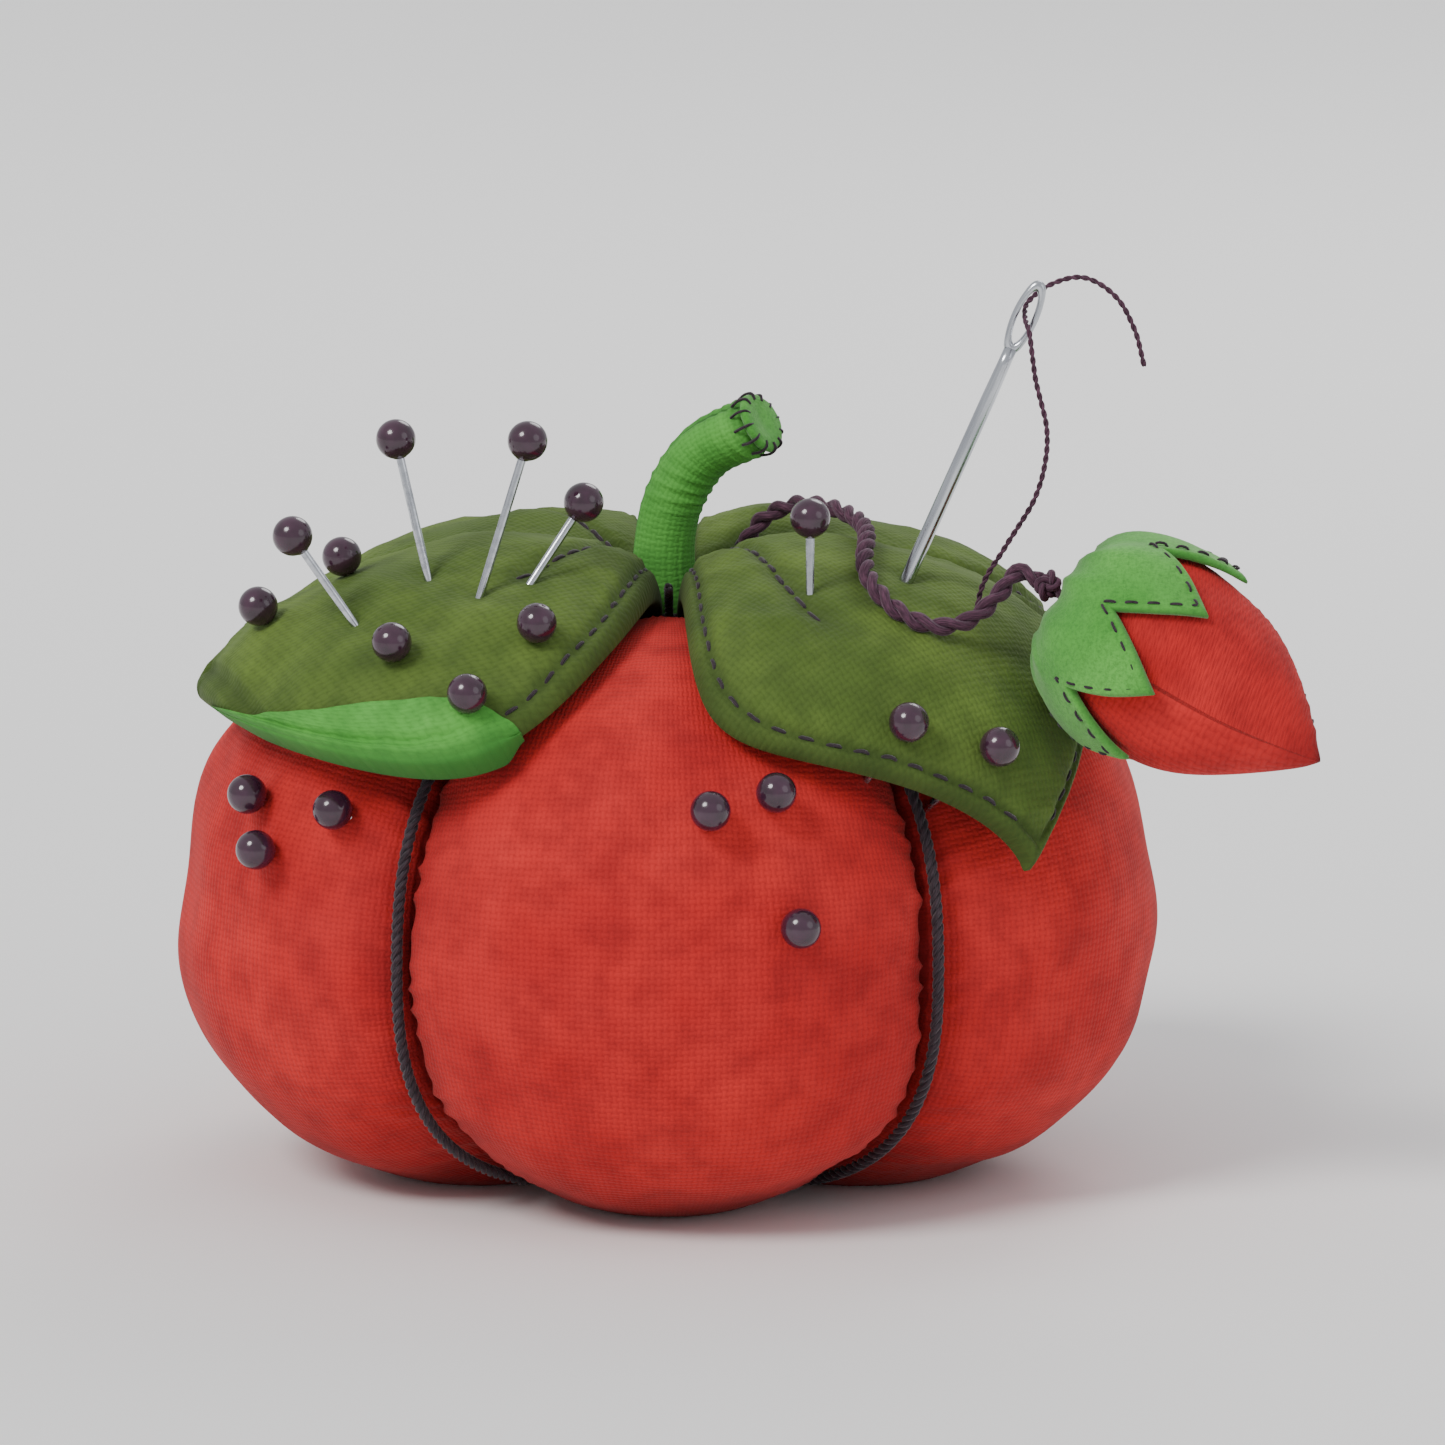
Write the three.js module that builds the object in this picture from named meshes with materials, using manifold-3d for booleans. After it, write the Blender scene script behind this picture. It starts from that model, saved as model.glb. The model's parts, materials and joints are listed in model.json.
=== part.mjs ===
// Tomato pincushion: a five-lobed fabric tomato with padded leaves, a stuffed stem,
// ball-head pins, a threaded needle and a strawberry-shaped emery on a cord.
// Millimetres, +Z up, front towards -Y, origin at the middle of the base on the table.
import * as THREE from 'three';
import { mergeVertices } from 'three/addons/utils/BufferGeometryUtils.js';
import Module from 'manifold-3d';

const wasm = await Module();
wasm.setup();

// ---- driving dimensions ----
const GAP = 0.3; // left between pieces that touch
const LOBES = 5;
const FRONT = -90; // azimuth of the front lobe, degrees
const BODY_RADIUS = 42; // widest point of a lobe
const WIDEST_HEIGHT = 22; // height of the widest point
const SHOULDER_RISE = 28; // from the widest point up to a lobe's top, before the dimple
const UNDER_DROP = 24; // from the widest point down, before the table flattens it
const GROOVE_DEPTH = 0.17; // how far a groove cuts in, as a share of the radius
const GROOVE_SINK = 0.8; // height of a groove's top and bottom as a share of a lobe's
const CROWN_DIMPLE = 6.5;
const CROWN_DIMPLE_RADIUS = 9;
const WIDTH_POWER = 0.7; // below 1 squares the profile's shoulders
const HEIGHT_POWER = 0.8;
const OPEN_AT_CROWN = 3.6; // from the crown to a panel's upper edge, along the surface
const OPEN_AT_BASE = 9; // radius of a panel's lower edge
const CLOTH = 0.8; // thickness of the cover cloth
const LOBE_THREAD_RADIUS = 0.5;
const CENTRE_PASS_RADIUS = 1.5; // bundle of thread through the middle
const BASE_DISC_RADIUS = 12.5;
const BASE_DISC_THICKNESS = 0.8;

const LEAF_WEDGE = 0.9; // half width gained for each millimetre away from the crown
const LEAF_WEDGE_POINT = 0.6; // where that wedge would come to its point
const LEAF_SHOULDER = 8; // how tightly the wedge turns into the broad part
const LEAF_BROADEST = 0.5; // share of the length past which a leaf narrows
const LEAF_TIP_HALF_WIDTH = 0.7;
const LEAF_START = 5; // clear round hole for the stem
const LEAF_RIM = 1.1; // thickness at the edge
const PLACING_PASSES = 12;
const FULL_SIDE = { width: 20.5, taper: 0.8 };
/**
 * length runs from the crown to the tip along the surface; bend and azimuth are in degrees; puff
 * is the extra thickness at the middle. Each leaf has its clockwise side (seen from above) first,
 * with its greatest half width and how sharply it narrows to the tip: 0.5 is round.
 */
const LEAVES = [
  {
    name: 'leaf_front_left', length: 41.5, azimuth: -133, bend: -34, tipLift: 2.5, puff: 4.6,
    sides: [{ width: 18, taper: 0.8 }, { width: 33, taper: 0.5 }],
  },
  {
    name: 'leaf_front_right', length: 51, azimuth: -45, bend: -2, tipLift: 0.8, puff: 4.6,
    sides: [{ width: 24, taper: 1.5 }, { width: 19.5, taper: 1.1 }],
  },
  {
    name: 'leaf_back_right', length: 45, azimuth: 45, bend: 6, tipLift: 1.2, puff: 3.2,
    sides: [FULL_SIDE, FULL_SIDE],
  },
  {
    name: 'leaf_back_left', length: 46, azimuth: 135, bend: 4, tipLift: 1.5, puff: 3.2,
    sides: [FULL_SIDE, FULL_SIDE],
  },
];

const STEM_PATH = [[0, 0, 46.6], [-0.5, 0, 51.5], [0.3, -0.1, 56.5], [2.9, -1, 60.8], [7.2, -3.4, 63.4]];
const STEM_RADIUS = 2.6;
const STEM_FLARE = 0.4; // extra radius at the foot
const STEM_CLOTH = 0.6;
const STEM_END_THICKNESS = 0.7;

const PIN_LENGTH = 30;
const PIN_RADIUS = 0.35;
const HEAD_RADIUS = 1.65;
const HEAD_SOCKET = 1.4; // how far the shaft goes into its head
const CHANNEL_RADIUS = 0.76; // the hole a pin leaves in cloth and filling

const NEEDLE_LENGTH = 42;
const NEEDLE_RADIUS = 0.6;
const EYE_LENGTH = 4.4;
const EYE_WIDTH = 1.2;
const THREAD_RADIUS = 0.25;

const CORD_RADIUS = 0.8;
const BERRY_LENGTH = 24;
const BERRY_RADIUS = 8.2;
const BERRY_CLOTH = 0.7;
const CAP_POINTS = 7;
const CAP_CLOTH = 0.8;

const RED = 0xc23a31;
const DARK_RED = 0x8f2b28;
const LEAF_GREEN = 0x5c7a2e;
const BRIGHT_GREEN = 0x4c9c3d;
const PLUM = 0x3b2331;
const CHARCOAL = 0x2a2428;
const STEEL = 0xb9bcc0;
const SAWDUST = 0xc9a36b;

const object = new THREE.Group();

// ---- small helpers ----
const radians = THREE.MathUtils.degToRad;
const toVector = ([x, y, z]) => new THREE.Vector3(x, y, z);
const UP = new THREE.Vector3(0, 0, 1);
const mix = (a, b, share) => a + (b - a) * share;

/** Runs from 0 to 1 as x goes from low to high, with no corners. */
function ease(x, low, high) {
  return THREE.MathUtils.smoothstep(x, low, high);
}

function around(azimuth, radius, z) {
  return new THREE.Vector3(radius * Math.cos(radians(azimuth)), radius * Math.sin(radians(azimuth)), z);
}

/** Adds a mesh to the object under its own name. */
function place(name, geometry, colour, roughness = 0.9, metalness = 0) {
  const material = new THREE.MeshStandardMaterial({ color: colour, roughness, metalness });
  const mesh = new THREE.Mesh(geometry, material);
  mesh.name = name;
  object.add(mesh);
  return mesh;
}

/** Reverses the triangles of a geometry whose faces point inwards. */
function facingOut(geometry) {
  const at = geometry.attributes.position;
  const index = geometry.index.array;
  const [a, b, c] = [new THREE.Vector3(), new THREE.Vector3(), new THREE.Vector3()];
  let volume = 0;
  for (let i = 0; i < index.length; i += 3) {
    a.fromBufferAttribute(at, index[i]);
    b.fromBufferAttribute(at, index[i + 1]);
    c.fromBufferAttribute(at, index[i + 2]);
    volume += a.dot(b.cross(c));
  }
  if (volume < 0) {
    for (let i = 0; i < index.length; i += 3) {
      [index[i], index[i + 1]] = [index[i + 1], index[i]];
    }
  }
  return geometry;
}

/**
 * A closed slab between two surfaces. outer(u, v) and inner(u, v) give points for u and v
 * from 0 to 1. With wrap, u closes on itself, which makes a sleeve.
 */
function slab(uSteps, vSteps, outer, inner, wrap = false) {
  const columns = wrap ? uSteps : uSteps + 1;
  const rows = vSteps + 1;
  const points = [];
  for (const side of [outer, inner]) {
    for (let j = 0; j < rows; j++) {
      for (let i = 0; i < columns; i++) {
        points.push(...side(i / uSteps, j / vSteps).toArray());
      }
    }
  }
  const index = [];
  const quad = (a, b, c, d) => index.push(a, b, c, a, c, d);
  const at = (side, i, j) => (side * rows + j) * columns + (i % columns);
  for (let i = 0; i < uSteps; i++) {
    for (let j = 0; j < vSteps; j++) {
      quad(at(0, i, j), at(0, i + 1, j), at(0, i + 1, j + 1), at(0, i, j + 1));
      quad(at(1, i, j + 1), at(1, i + 1, j + 1), at(1, i + 1, j), at(1, i, j));
    }
    quad(at(1, i, 0), at(1, i + 1, 0), at(0, i + 1, 0), at(0, i, 0));
    quad(at(0, i, vSteps), at(0, i + 1, vSteps), at(1, i + 1, vSteps), at(1, i, vSteps));
  }
  for (let j = 0; j < vSteps && !wrap; j++) {
    quad(at(0, 0, j), at(0, 0, j + 1), at(1, 0, j + 1), at(1, 0, j));
    quad(at(1, uSteps, j), at(1, uSteps, j + 1), at(0, uSteps, j + 1), at(0, uSteps, j));
  }
  const geometry = new THREE.BufferGeometry();
  geometry.setAttribute('position', new THREE.Float32BufferAttribute(points, 3));
  geometry.setIndex(index);
  return facingOut(geometry);
}

/** A solid of revolution about +Z from [radius, height] points that start and end on the axis. */
function turned(profile, sides) {
  const lathe = new THREE.LatheGeometry(profile.map(([r, z]) => new THREE.Vector2(r, z)), sides);
  return facingOut(positionsOnly(lathe.rotateX(Math.PI / 2)));
}

/** A round tube of even radius along a curve. */
function tube(curve, radius, steps, sides) {
  const section = new THREE.Shape();
  for (let i = 0; i < sides; i++) {
    const angle = (2 * Math.PI * i) / sides;
    section[i ? 'lineTo' : 'moveTo'](radius * Math.cos(angle), radius * Math.sin(angle));
  }
  section.closePath();
  const settings = { steps, bevelEnabled: false, extrudePath: curve };
  return facingOut(positionsOnly(new THREE.ExtrudeGeometry(section, settings)));
}

/** The geometry with its shared vertices merged and nothing but positions. */
function positionsOnly(geometry) {
  geometry.deleteAttribute('normal');
  geometry.deleteAttribute('uv');
  return withoutSlivers(mergeVertices(geometry, 1e-4));
}

/** Drops the triangles that merging has closed to a line. */
function withoutSlivers(geometry) {
  const kept = [];
  const index = geometry.index.array;
  for (let i = 0; i < index.length; i += 3) {
    const [a, b, c] = index.slice(i, i + 3);
    if (a !== b && b !== c && c !== a) kept.push(a, b, c);
  }
  geometry.setIndex(kept);
  return geometry;
}

function toManifold(geometry) {
  return new wasm.Manifold(new wasm.Mesh({
    numProp: 3,
    vertProperties: new Float32Array(geometry.attributes.position.array),
    triVerts: new Uint32Array(geometry.index.array),
  }));
}

function fromManifold(manifold) {
  const mesh = manifold.getMesh();
  const geometry = new THREE.BufferGeometry();
  geometry.setAttribute('position', new THREE.BufferAttribute(mesh.vertProperties, 3));
  geometry.setIndex(new THREE.BufferAttribute(mesh.triVerts, 1));
  return geometry;
}

/** The union of geometries that touch. */
function joined(geometries) {
  return fromManifold(geometries.map(toManifold).reduce((whole, piece) => whole.add(piece)));
}

/** The geometry with the cutters taken out of it. */
function without(geometry, cutters) {
  return fromManifold(cutters.reduce((whole, cutter) => whole.subtract(cutter), toManifold(geometry)));
}

/** Turns a geometry's +Z to a direction and moves its origin to a point. */
function standing(geometry, foot, direction) {
  const turn = new THREE.Quaternion().setFromUnitVectors(UP, direction);
  return geometry.applyQuaternion(turn).translate(...foot.toArray());
}

// ---- the tomato's surface ----
/** 1 along a lobe's crest and 0 in the groove beside it. */
function lobeShare(azimuth) {
  const width = 360 / LOBES;
  const fromCrest = THREE.MathUtils.euclideanModulo(azimuth - FRONT + width / 2, width) - width / 2;
  return Math.sqrt(Math.max(0, 1 - (fromCrest / (width / 2)) ** 2));
}

/**
 * The point of the surface at a latitude, from -90 under the base to 90 at the crown,
 * lying inset millimetres inside it. share is lobeShare, or 1 for a smooth hull.
 */
function skin(azimuth, latitude, inset = 0, share = lobeShare(azimuth)) {
  const fullness = 1 - GROOVE_DEPTH * (1 - share);
  const radius = (BODY_RADIUS * fullness - inset) * Math.cos(radians(latitude)) ** WIDTH_POWER;
  const rise = Math.abs(Math.sin(radians(latitude))) ** HEIGHT_POWER;
  const settle = mix(GROOVE_SINK, 1, share);
  if (latitude >= 0) {
    const dimple = CROWN_DIMPLE * Math.exp(-((radius / CROWN_DIMPLE_RADIUS) ** 2));
    return around(azimuth, radius, WIDEST_HEIGHT + (SHOULDER_RISE * settle - inset) * rise - dimple);
  }
  const flattened = Math.max(inset, WIDEST_HEIGHT - (UNDER_DROP * settle - inset) * rise);
  const tuckedUp = 2.6 * (1 - ease(radius, BASE_DISC_RADIUS - 1, BASE_DISC_RADIUS + 5));
  return around(azimuth, radius, flattened + tuckedUp);
}

/** Distances from the crown along the smooth hull, at every half degree of latitude. */
const meridian = [{ latitude: 90, distance: 0 }];
for (let latitude = 89.5; latitude >= -90; latitude -= 0.5) {
  const step = skin(0, latitude, 0, 1).distanceTo(skin(0, latitude + 0.5, 0, 1));
  meridian.push({ latitude, distance: meridian.at(-1).distance + step });
}

/** Latitude at which the smooth hull has gone a given distance from the crown. */
function latitudeAt(distance) {
  const next = Math.max(1, meridian.findIndex((stop) => stop.distance >= distance));
  const [a, b] = [meridian[next - 1], meridian[next]];
  return mix(a.latitude, b.latitude, (distance - a.distance) / (b.distance - a.distance));
}

/** Latitude of the upper or lower half at which the smooth hull has a given radius. */
function latitudeOfRadius(radius, half = 1) {
  return half * THREE.MathUtils.radToDeg(Math.acos((radius / BODY_RADIUS) ** (1 / WIDTH_POWER)));
}

function distanceOf(latitude) {
  return meridian.find((stop) => stop.latitude <= latitude).distance;
}

/** Outward direction of the smooth hull. */
function outward(azimuth, latitude) {
  const step = 0.5;
  const up = skin(azimuth, latitude + step, 0, 1).sub(skin(azimuth, latitude - step, 0, 1));
  const along = around(azimuth + 90, 1, 0);
  return along.cross(up).normalize();
}

// ---- leaves ----
/**
 * Half of a leaf's width at a distance along it, on the side that across is on: a wedge at the
 * crown, broad at the middle, then narrowing to the tip, with a rounded shoulder.
 */
function leafHalfWidth({ length, sides }, along, across) {
  const { width, taper } = sides[across < 0 ? 0 : 1];
  const narrowing = Math.max(0, along / length - LEAF_BROADEST) / (1 - LEAF_BROADEST);
  const full = width * Math.max(0, 1 - narrowing ** 2) ** taper;
  const wedge = (along - LEAF_WEDGE_POINT) * LEAF_WEDGE;
  const blunt = (wedge ** LEAF_SHOULDER + full ** LEAF_SHOULDER) ** (1 / LEAF_SHOULDER);
  return Math.max(LEAF_TIP_HALF_WIDTH, (wedge * full) / blunt);
}

/** A point of a leaf, along it and across it (-1 to 1), height above the cover's hull. */
function leafPoint(leaf, along, across, height) {
  const aside = across * leafHalfWidth(leaf, along, across);
  const distance = Math.hypot(along, aside);
  const turn = THREE.MathUtils.radToDeg(Math.atan2(aside, along));
  const share = along / leaf.length;
  const azimuth = leaf.azimuth + turn + leaf.bend * share ** 2;
  const latitude = latitudeAt(distance);
  const lean = outward(azimuth, latitude).lerp(UP, 1 - ease(distance, 6, 18)).normalize();
  return skin(azimuth, latitude, 0, 1).addScaledVector(lean, height);
}

/** Height of a leaf's underside above the cover's hull. */
function leafUnder(leaf, along) {
  const overStitches = 1.5 * Math.exp(-((along / 9) ** 2));
  return 0.5 + overStitches + leaf.tipLift * ease(along, leaf.length * 0.6, leaf.length);
}

function leafThickness({ length, puff }, along, across) {
  const share = along / length;
  const lengthwise = Math.sin(Math.PI * Math.min(1, mix(0.16, 1, share))) ** 0.6;
  const crosswise = Math.max(0, 1 - across ** 2) ** 0.6;
  return LEAF_RIM + puff * lengthwise * crosswise;
}

function leafSolid(leaf) {
  const along = (v) => mix(LEAF_START, leaf.length, Math.sin((Math.PI / 2) * v));
  const across = (u) => Math.sin(Math.PI * (u - 0.5));
  const under = (u, v) => leafPoint(leaf, along(v), across(u), leafUnder(leaf, along(v)));
  const over = (u, v) => {
    const height = leafUnder(leaf, along(v)) + leafThickness(leaf, along(v), across(u));
    return leafPoint(leaf, along(v), across(u), height);
  };
  return slab(8, 10, over, under);
}

/**
 * The point on top of a leaf at an azimuth and a radius from the axis. The leaf's bend depends on
 * the distance along it, so that distance is found by repetition.
 */
function onLeaf(leaf, azimuth, radius) {
  const distance = distanceOf(latitudeOfRadius(radius));
  let along = distance;
  let turn = 0;
  for (let pass = 0; pass < PLACING_PASSES; pass += 1) {
    turn = radians(azimuth - leaf.azimuth - leaf.bend * (along / leaf.length) ** 2);
    along = distance * Math.cos(turn);
  }
  const across = (distance * Math.sin(turn)) / leafHalfWidth(leaf, along, turn);
  return leafPoint(leaf, along, across, leafUnder(leaf, along) + leafThickness(leaf, along, across));
}

// ---- pins ----
const [FRONT_LEFT, FRONT_RIGHT] = LEAVES;
/**
 * Each pin's spot on a leaf (leaf, azimuth, radius) or on a lobe (azimuth, latitude), how far
 * its head stands proud of the surface, and the way it points if not straight out: its lean,
 * or degrees of skew to one side.
 */
const PINS = [
  { leaf: FRONT_LEFT, azimuth: -157, radius: 32.5, proud: 0 },
  { leaf: FRONT_LEFT, azimuth: -141, radius: 30.5, proud: 7, lean: [-5.3, -1.4, 8] },
  { leaf: FRONT_LEFT, azimuth: -158, radius: 26.5, proud: 0 },
  { leaf: FRONT_LEFT, azimuth: -139.5, radius: 24.4, proud: 9.8, lean: [-2.8, 0, 12.5] },
  { leaf: FRONT_LEFT, azimuth: -125, radius: 25, proud: 11.3, lean: [4.2, -0.6, 13.7] },
  { leaf: FRONT_LEFT, azimuth: -118, radius: 22, proud: 5.5, lean: [4.9, 1.2, 7.4] },
  { leaf: FRONT_LEFT, azimuth: -128, radius: 32.5, proud: 0 },
  { leaf: FRONT_LEFT, azimuth: -115, radius: 34.5, proud: 0 },
  { leaf: FRONT_LEFT, azimuth: -110, radius: 28.5, proud: 0 },
  { leaf: FRONT_RIGHT, azimuth: -63.5, radius: 24.2, proud: 4, lean: [0, -0.5, 6.4] },
  { leaf: FRONT_RIGHT, azimuth: -61.5, radius: 36.4, proud: 0, skew: 3 },
  { leaf: FRONT_RIGHT, azimuth: -51.5, radius: 38, proud: 0 },
  { azimuth: -148, latitude: 22, proud: 0 },
  { azimuth: -134.5, latitude: 23, proud: 0, skew: -12 },
  { azimuth: -144, latitude: 14, proud: 0 },
  { azimuth: -85, latitude: 26, proud: 0 },
  { azimuth: -77, latitude: 29, proud: 0 },
  { azimuth: -76, latitude: 8, proud: 0, skew: 15 },
];

/** A pin's spot, the way it points, and how deep its channel has to be. */
function pinPlace({ leaf, azimuth, radius, latitude, proud, lean, skew = 0 }) {
  const onSurface = leaf ? latitudeOfRadius(radius) : latitude;
  const foot = leaf ? onLeaf(leaf, azimuth, radius) : skin(azimuth, latitude);
  const direction = lean ? toVector(lean).normalize() : outward(azimuth + skew, onSurface);
  return { foot, direction, proud, buried: PIN_LENGTH - proud };
}

/** Shaft with its tip at z = 0 and its blunt end at PIN_LENGTH. */
function pinShaft() {
  const taper = 3;
  return turned([[0, 0], [PIN_RADIUS, taper], [PIN_RADIUS, PIN_LENGTH], [0, PIN_LENGTH]], 6);
}

/** Ball head, open below for the shaft, whose blunt end is at z = 0. */
function pinHead() {
  const socket = PIN_RADIUS + 0.2;
  const low = -HEAD_SOCKET;
  const middle = low + Math.sqrt(HEAD_RADIUS ** 2 - socket ** 2);
  const ball = [-40, 0, 45].map((tilt) => [
    HEAD_RADIUS * Math.cos(radians(tilt)), middle + HEAD_RADIUS * Math.sin(radians(tilt)),
  ]);
  return turned([[0, GAP], [socket, GAP], [socket, low], ...ball, [0, middle + HEAD_RADIUS]], 8);
}

/** The hole that a shaft leaves when it is drawn out of cloth and filling. */
function channel({ foot, direction, buried, proud }, radius = CHANNEL_RADIUS) {
  const past = 8; // clear of the surface
  const deep = buried + proud + 0.6;
  const round = turned([[0, -deep], [radius, -deep + 1.2], [radius, past], [0, past]], 6);
  return toManifold(standing(round, foot, direction));
}

const pins = PINS.map(pinPlace);

// ---- needle ----
const needlePlace = {
  foot: onLeaf(FRONT_RIGHT, -42.6, 25),
  direction: toVector([10.6, 0, 24]).normalize(),
  proud: 27,
  buried: NEEDLE_LENGTH - 27,
};

/** Needle with its tip at z = 0 and a long eye that faces the front. */
function needleSolid() {
  const neck = NEEDLE_LENGTH - EYE_LENGTH - 1.6;
  const shaft = turned([[0, 0], [NEEDLE_RADIUS, 5], [NEEDLE_RADIUS, neck], [0, neck]], 8);
  const half = (EYE_LENGTH + 2.4) / 2;
  const outline = new THREE.Shape().absellipse(0, 0, EYE_WIDTH / 2 + 0.5, half, 0, 2 * Math.PI);
  const eye = new THREE.Path().absellipse(0, 0, EYE_WIDTH / 2, EYE_LENGTH / 2, 0, 2 * Math.PI, true);
  outline.holes.push(eye);
  const loop = new THREE.ExtrudeGeometry(outline, { depth: 1, bevelEnabled: false, curveSegments: 8 });
  loop.translate(0, 0, -0.5).rotateX(Math.PI / 2).translate(0, 0, NEEDLE_LENGTH - half);
  return joined([shaft, facingOut(positionsOnly(loop))]);
}

// ---- cloth, filling and thread of the tomato ----
const BODY_ROWS = 13;
const LOBE_COLUMNS = 8;
const FILLING_ROWS = 11;
const FILLING_COLUMNS = 6; // per lobe
const CUT_EDGE = 0.2; // half the gap between neighbouring panels

/** Azimuth across a lobe, closer together towards its grooves. */
function azimuthAcross(lobe, u) {
  return FRONT + (360 / LOBES) * (lobe + 0.5 * Math.sin(Math.PI * (u - 0.5)));
}

/** Latitude down a panel, v from 0 at its upper edge to 1 at its lower edge. */
function latitudeDown(v) {
  return latitudeAt(mix(OPEN_AT_CROWN, distanceOf(latitudeOfRadius(OPEN_AT_BASE, -1)), v));
}

function coverPanel(lobe) {
  const surface = (inset) => (u, v) => {
    const point = skin(azimuthAcross(lobe, u), latitudeDown(v), inset);
    const alongSeam = u === 0 ? 1 : u === 1 ? -1 : 0;
    const aside = around(azimuthAcross(lobe, u) + 90, alongSeam * CUT_EDGE, 0);
    return point.add(aside);
  };
  return slab(LOBE_COLUMNS, BODY_ROWS, surface(0), surface(CLOTH));
}

function fillingSolid() {
  const azimuth = (u) => azimuthAcross(Math.floor(u * LOBES + 1e-9), (u * LOBES + 1e-9) % 1);
  const inset = (v) => CLOTH + GAP + 0.8 + 1.2 * Math.abs(2 * v - 1) ** 6;
  const outer = (u, v) => skin(azimuth(u), latitudeDown(v), inset(v));
  const passage = CENTRE_PASS_RADIUS + GAP + 0.2;
  const inner = (u, v) => around(azimuth(u), passage, mix(outer(u, 0).z, outer(u, 1).z, v));
  return slab(LOBES * FILLING_COLUMNS, FILLING_ROWS, outer, inner, true);
}

/** Thread along every groove and its pass through the middle, as one piece. */
function lobeThread() {
  const top = skin(0, 90).z + LOBE_THREAD_RADIUS + GAP;
  const bottom = BASE_DISC_THICKNESS + GAP;
  const profile = [[0, bottom], [CENTRE_PASS_RADIUS, bottom + 0.3], [CENTRE_PASS_RADIUS, top + 0.4], [0, top + 0.6]];
  const pieces = [turned(profile, 10)];
  for (let lobe = 0; lobe < LOBES; lobe++) {
    const azimuth = FRONT + (360 / LOBES) * (lobe + 0.5);
    const route = [around(azimuth, CENTRE_PASS_RADIUS - 0.8, top - 0.1)];
    const last = distanceOf(latitudeOfRadius(4, -1));
    for (let i = 0; i <= 18; i++) route.push(inGroove(azimuth, latitudeAt(mix(2.4, last, i / 18))));
    route.push(around(azimuth, CENTRE_PASS_RADIUS - 0.8, bottom + 0.75));
    pieces.push(tube(new THREE.CatmullRomCurve3(route), LOBE_THREAD_RADIUS, 18, 5));
  }
  return joined(pieces);
}

/** The middle of a thread that lies in a groove between two lobes. */
function inGroove(azimuth, latitude) {
  const clear = LOBE_THREAD_RADIUS + GAP + 0.15;
  const halfLobe = Math.max(1, skin(azimuth, latitude, 0, 1).setZ(0).length() * radians(180 / LOBES));
  const share = Math.sqrt(Math.max(0, 1 - (1 - Math.min(1, 1 / halfLobe)) ** 2));
  const point = skin(azimuth, latitude, -clear, share);
  return point.setZ(Math.max(BASE_DISC_THICKNESS + GAP + LOBE_THREAD_RADIUS, point.z));
}

function baseDisc() {
  const disc = new THREE.CylinderGeometry(BASE_DISC_RADIUS, BASE_DISC_RADIUS, BASE_DISC_THICKNESS, 24);
  disc.rotateX(Math.PI / 2).translate(0, 0, BASE_DISC_THICKNESS / 2);
  return facingOut(positionsOnly(disc));
}

// ---- stem ----
const stemCurve = new THREE.CatmullRomCurve3(STEM_PATH.map(toVector));

/** Radius of the stem's outside, with a flare at the foot. */
function stemRadius(share) {
  return STEM_RADIUS + STEM_FLARE * (1 - ease(share, 0, 0.35));
}

function stemCover() {
  const steps = 8;
  const frames = stemCurve.computeFrenetFrames(steps);
  const wall = (inset) => (u, v) => {
    const row = Math.round(v * steps);
    const radius = stemRadius(v) - inset;
    return stemCurve.getPointAt(v)
      .addScaledVector(frames.normals[row], radius * Math.cos(2 * Math.PI * u))
      .addScaledVector(frames.binormals[row], radius * Math.sin(2 * Math.PI * u));
  };
  return slab(10, steps, wall(0), wall(STEM_CLOTH), true);
}

function stemEnd() {
  const patch = new THREE.CylinderGeometry(STEM_RADIUS, STEM_RADIUS, STEM_END_THICKNESS, 12);
  patch.rotateX(Math.PI / 2).translate(0, 0, GAP + STEM_END_THICKNESS / 2);
  return standing(facingOut(positionsOnly(patch)), stemCurve.getPointAt(1), stemCurve.getTangentAt(1));
}

/** Dark stitches that gather the leaves: a ring round the stem and one bar in each valley. */
function crownStitch() {
  const ringRadius = 4;
  const ringHeight = skin(0, latitudeOfRadius(ringRadius), 0, 1).z + 2.2;
  const ring = new THREE.TorusGeometry(ringRadius, 0.45, 5, 16).translate(0, 0, ringHeight);
  const bars = [-90, 0, 90, 180].map((azimuth) => {
    const reach = [6, 9, 12].map((radius) => skin(azimuth, latitudeOfRadius(radius), -2.4, 1));
    const route = [around(azimuth, ringRadius, ringHeight), ...reach];
    return tube(new THREE.CatmullRomCurve3(route), 0.4, 3, 5);
  });
  return joined([facingOut(positionsOnly(ring)), ...bars]);
}

// ---- strawberry emery ----
const KNOT = toVector([31.2, -24.1, 53.1]);
const BERRY_DIRECTION = toVector([0.82, -0.3, -0.49]).normalize();
const KNOT_RADIUS = 1.5;
const KNOT_TO_BERRY = 2.9; // from the knot's middle to the berry's top

/** Radius of the berry at a share of its length. */
function berryRadius(share) {
  return BERRY_RADIUS * Math.sqrt(Math.max(0, Math.sin(Math.PI * share ** 0.64)));
}

function berryProfile(inset, from) {
  const profile = [];
  for (let i = 0; i <= 8; i++) {
    const share = mix(from, 1, i / 8);
    const height = mix(inset, BERRY_LENGTH - inset * 1.5, share);
    profile.push([Math.max(0, berryRadius(share) * (1 - inset / BERRY_RADIUS)), height]);
  }
  profile.at(-1)[0] = 0;
  return profile;
}

function berryCover() {
  const outside = berryProfile(0, 0.03);
  const inside = berryProfile(BERRY_CLOTH, 0.03).reverse();
  return turned([...inside, ...outside], 14);
}

function berryFilling() {
  const profile = berryProfile(BERRY_CLOTH + GAP + 0.1, 0.04);
  return turned([[0, profile[0][1]], ...profile], 10);
}

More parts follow.
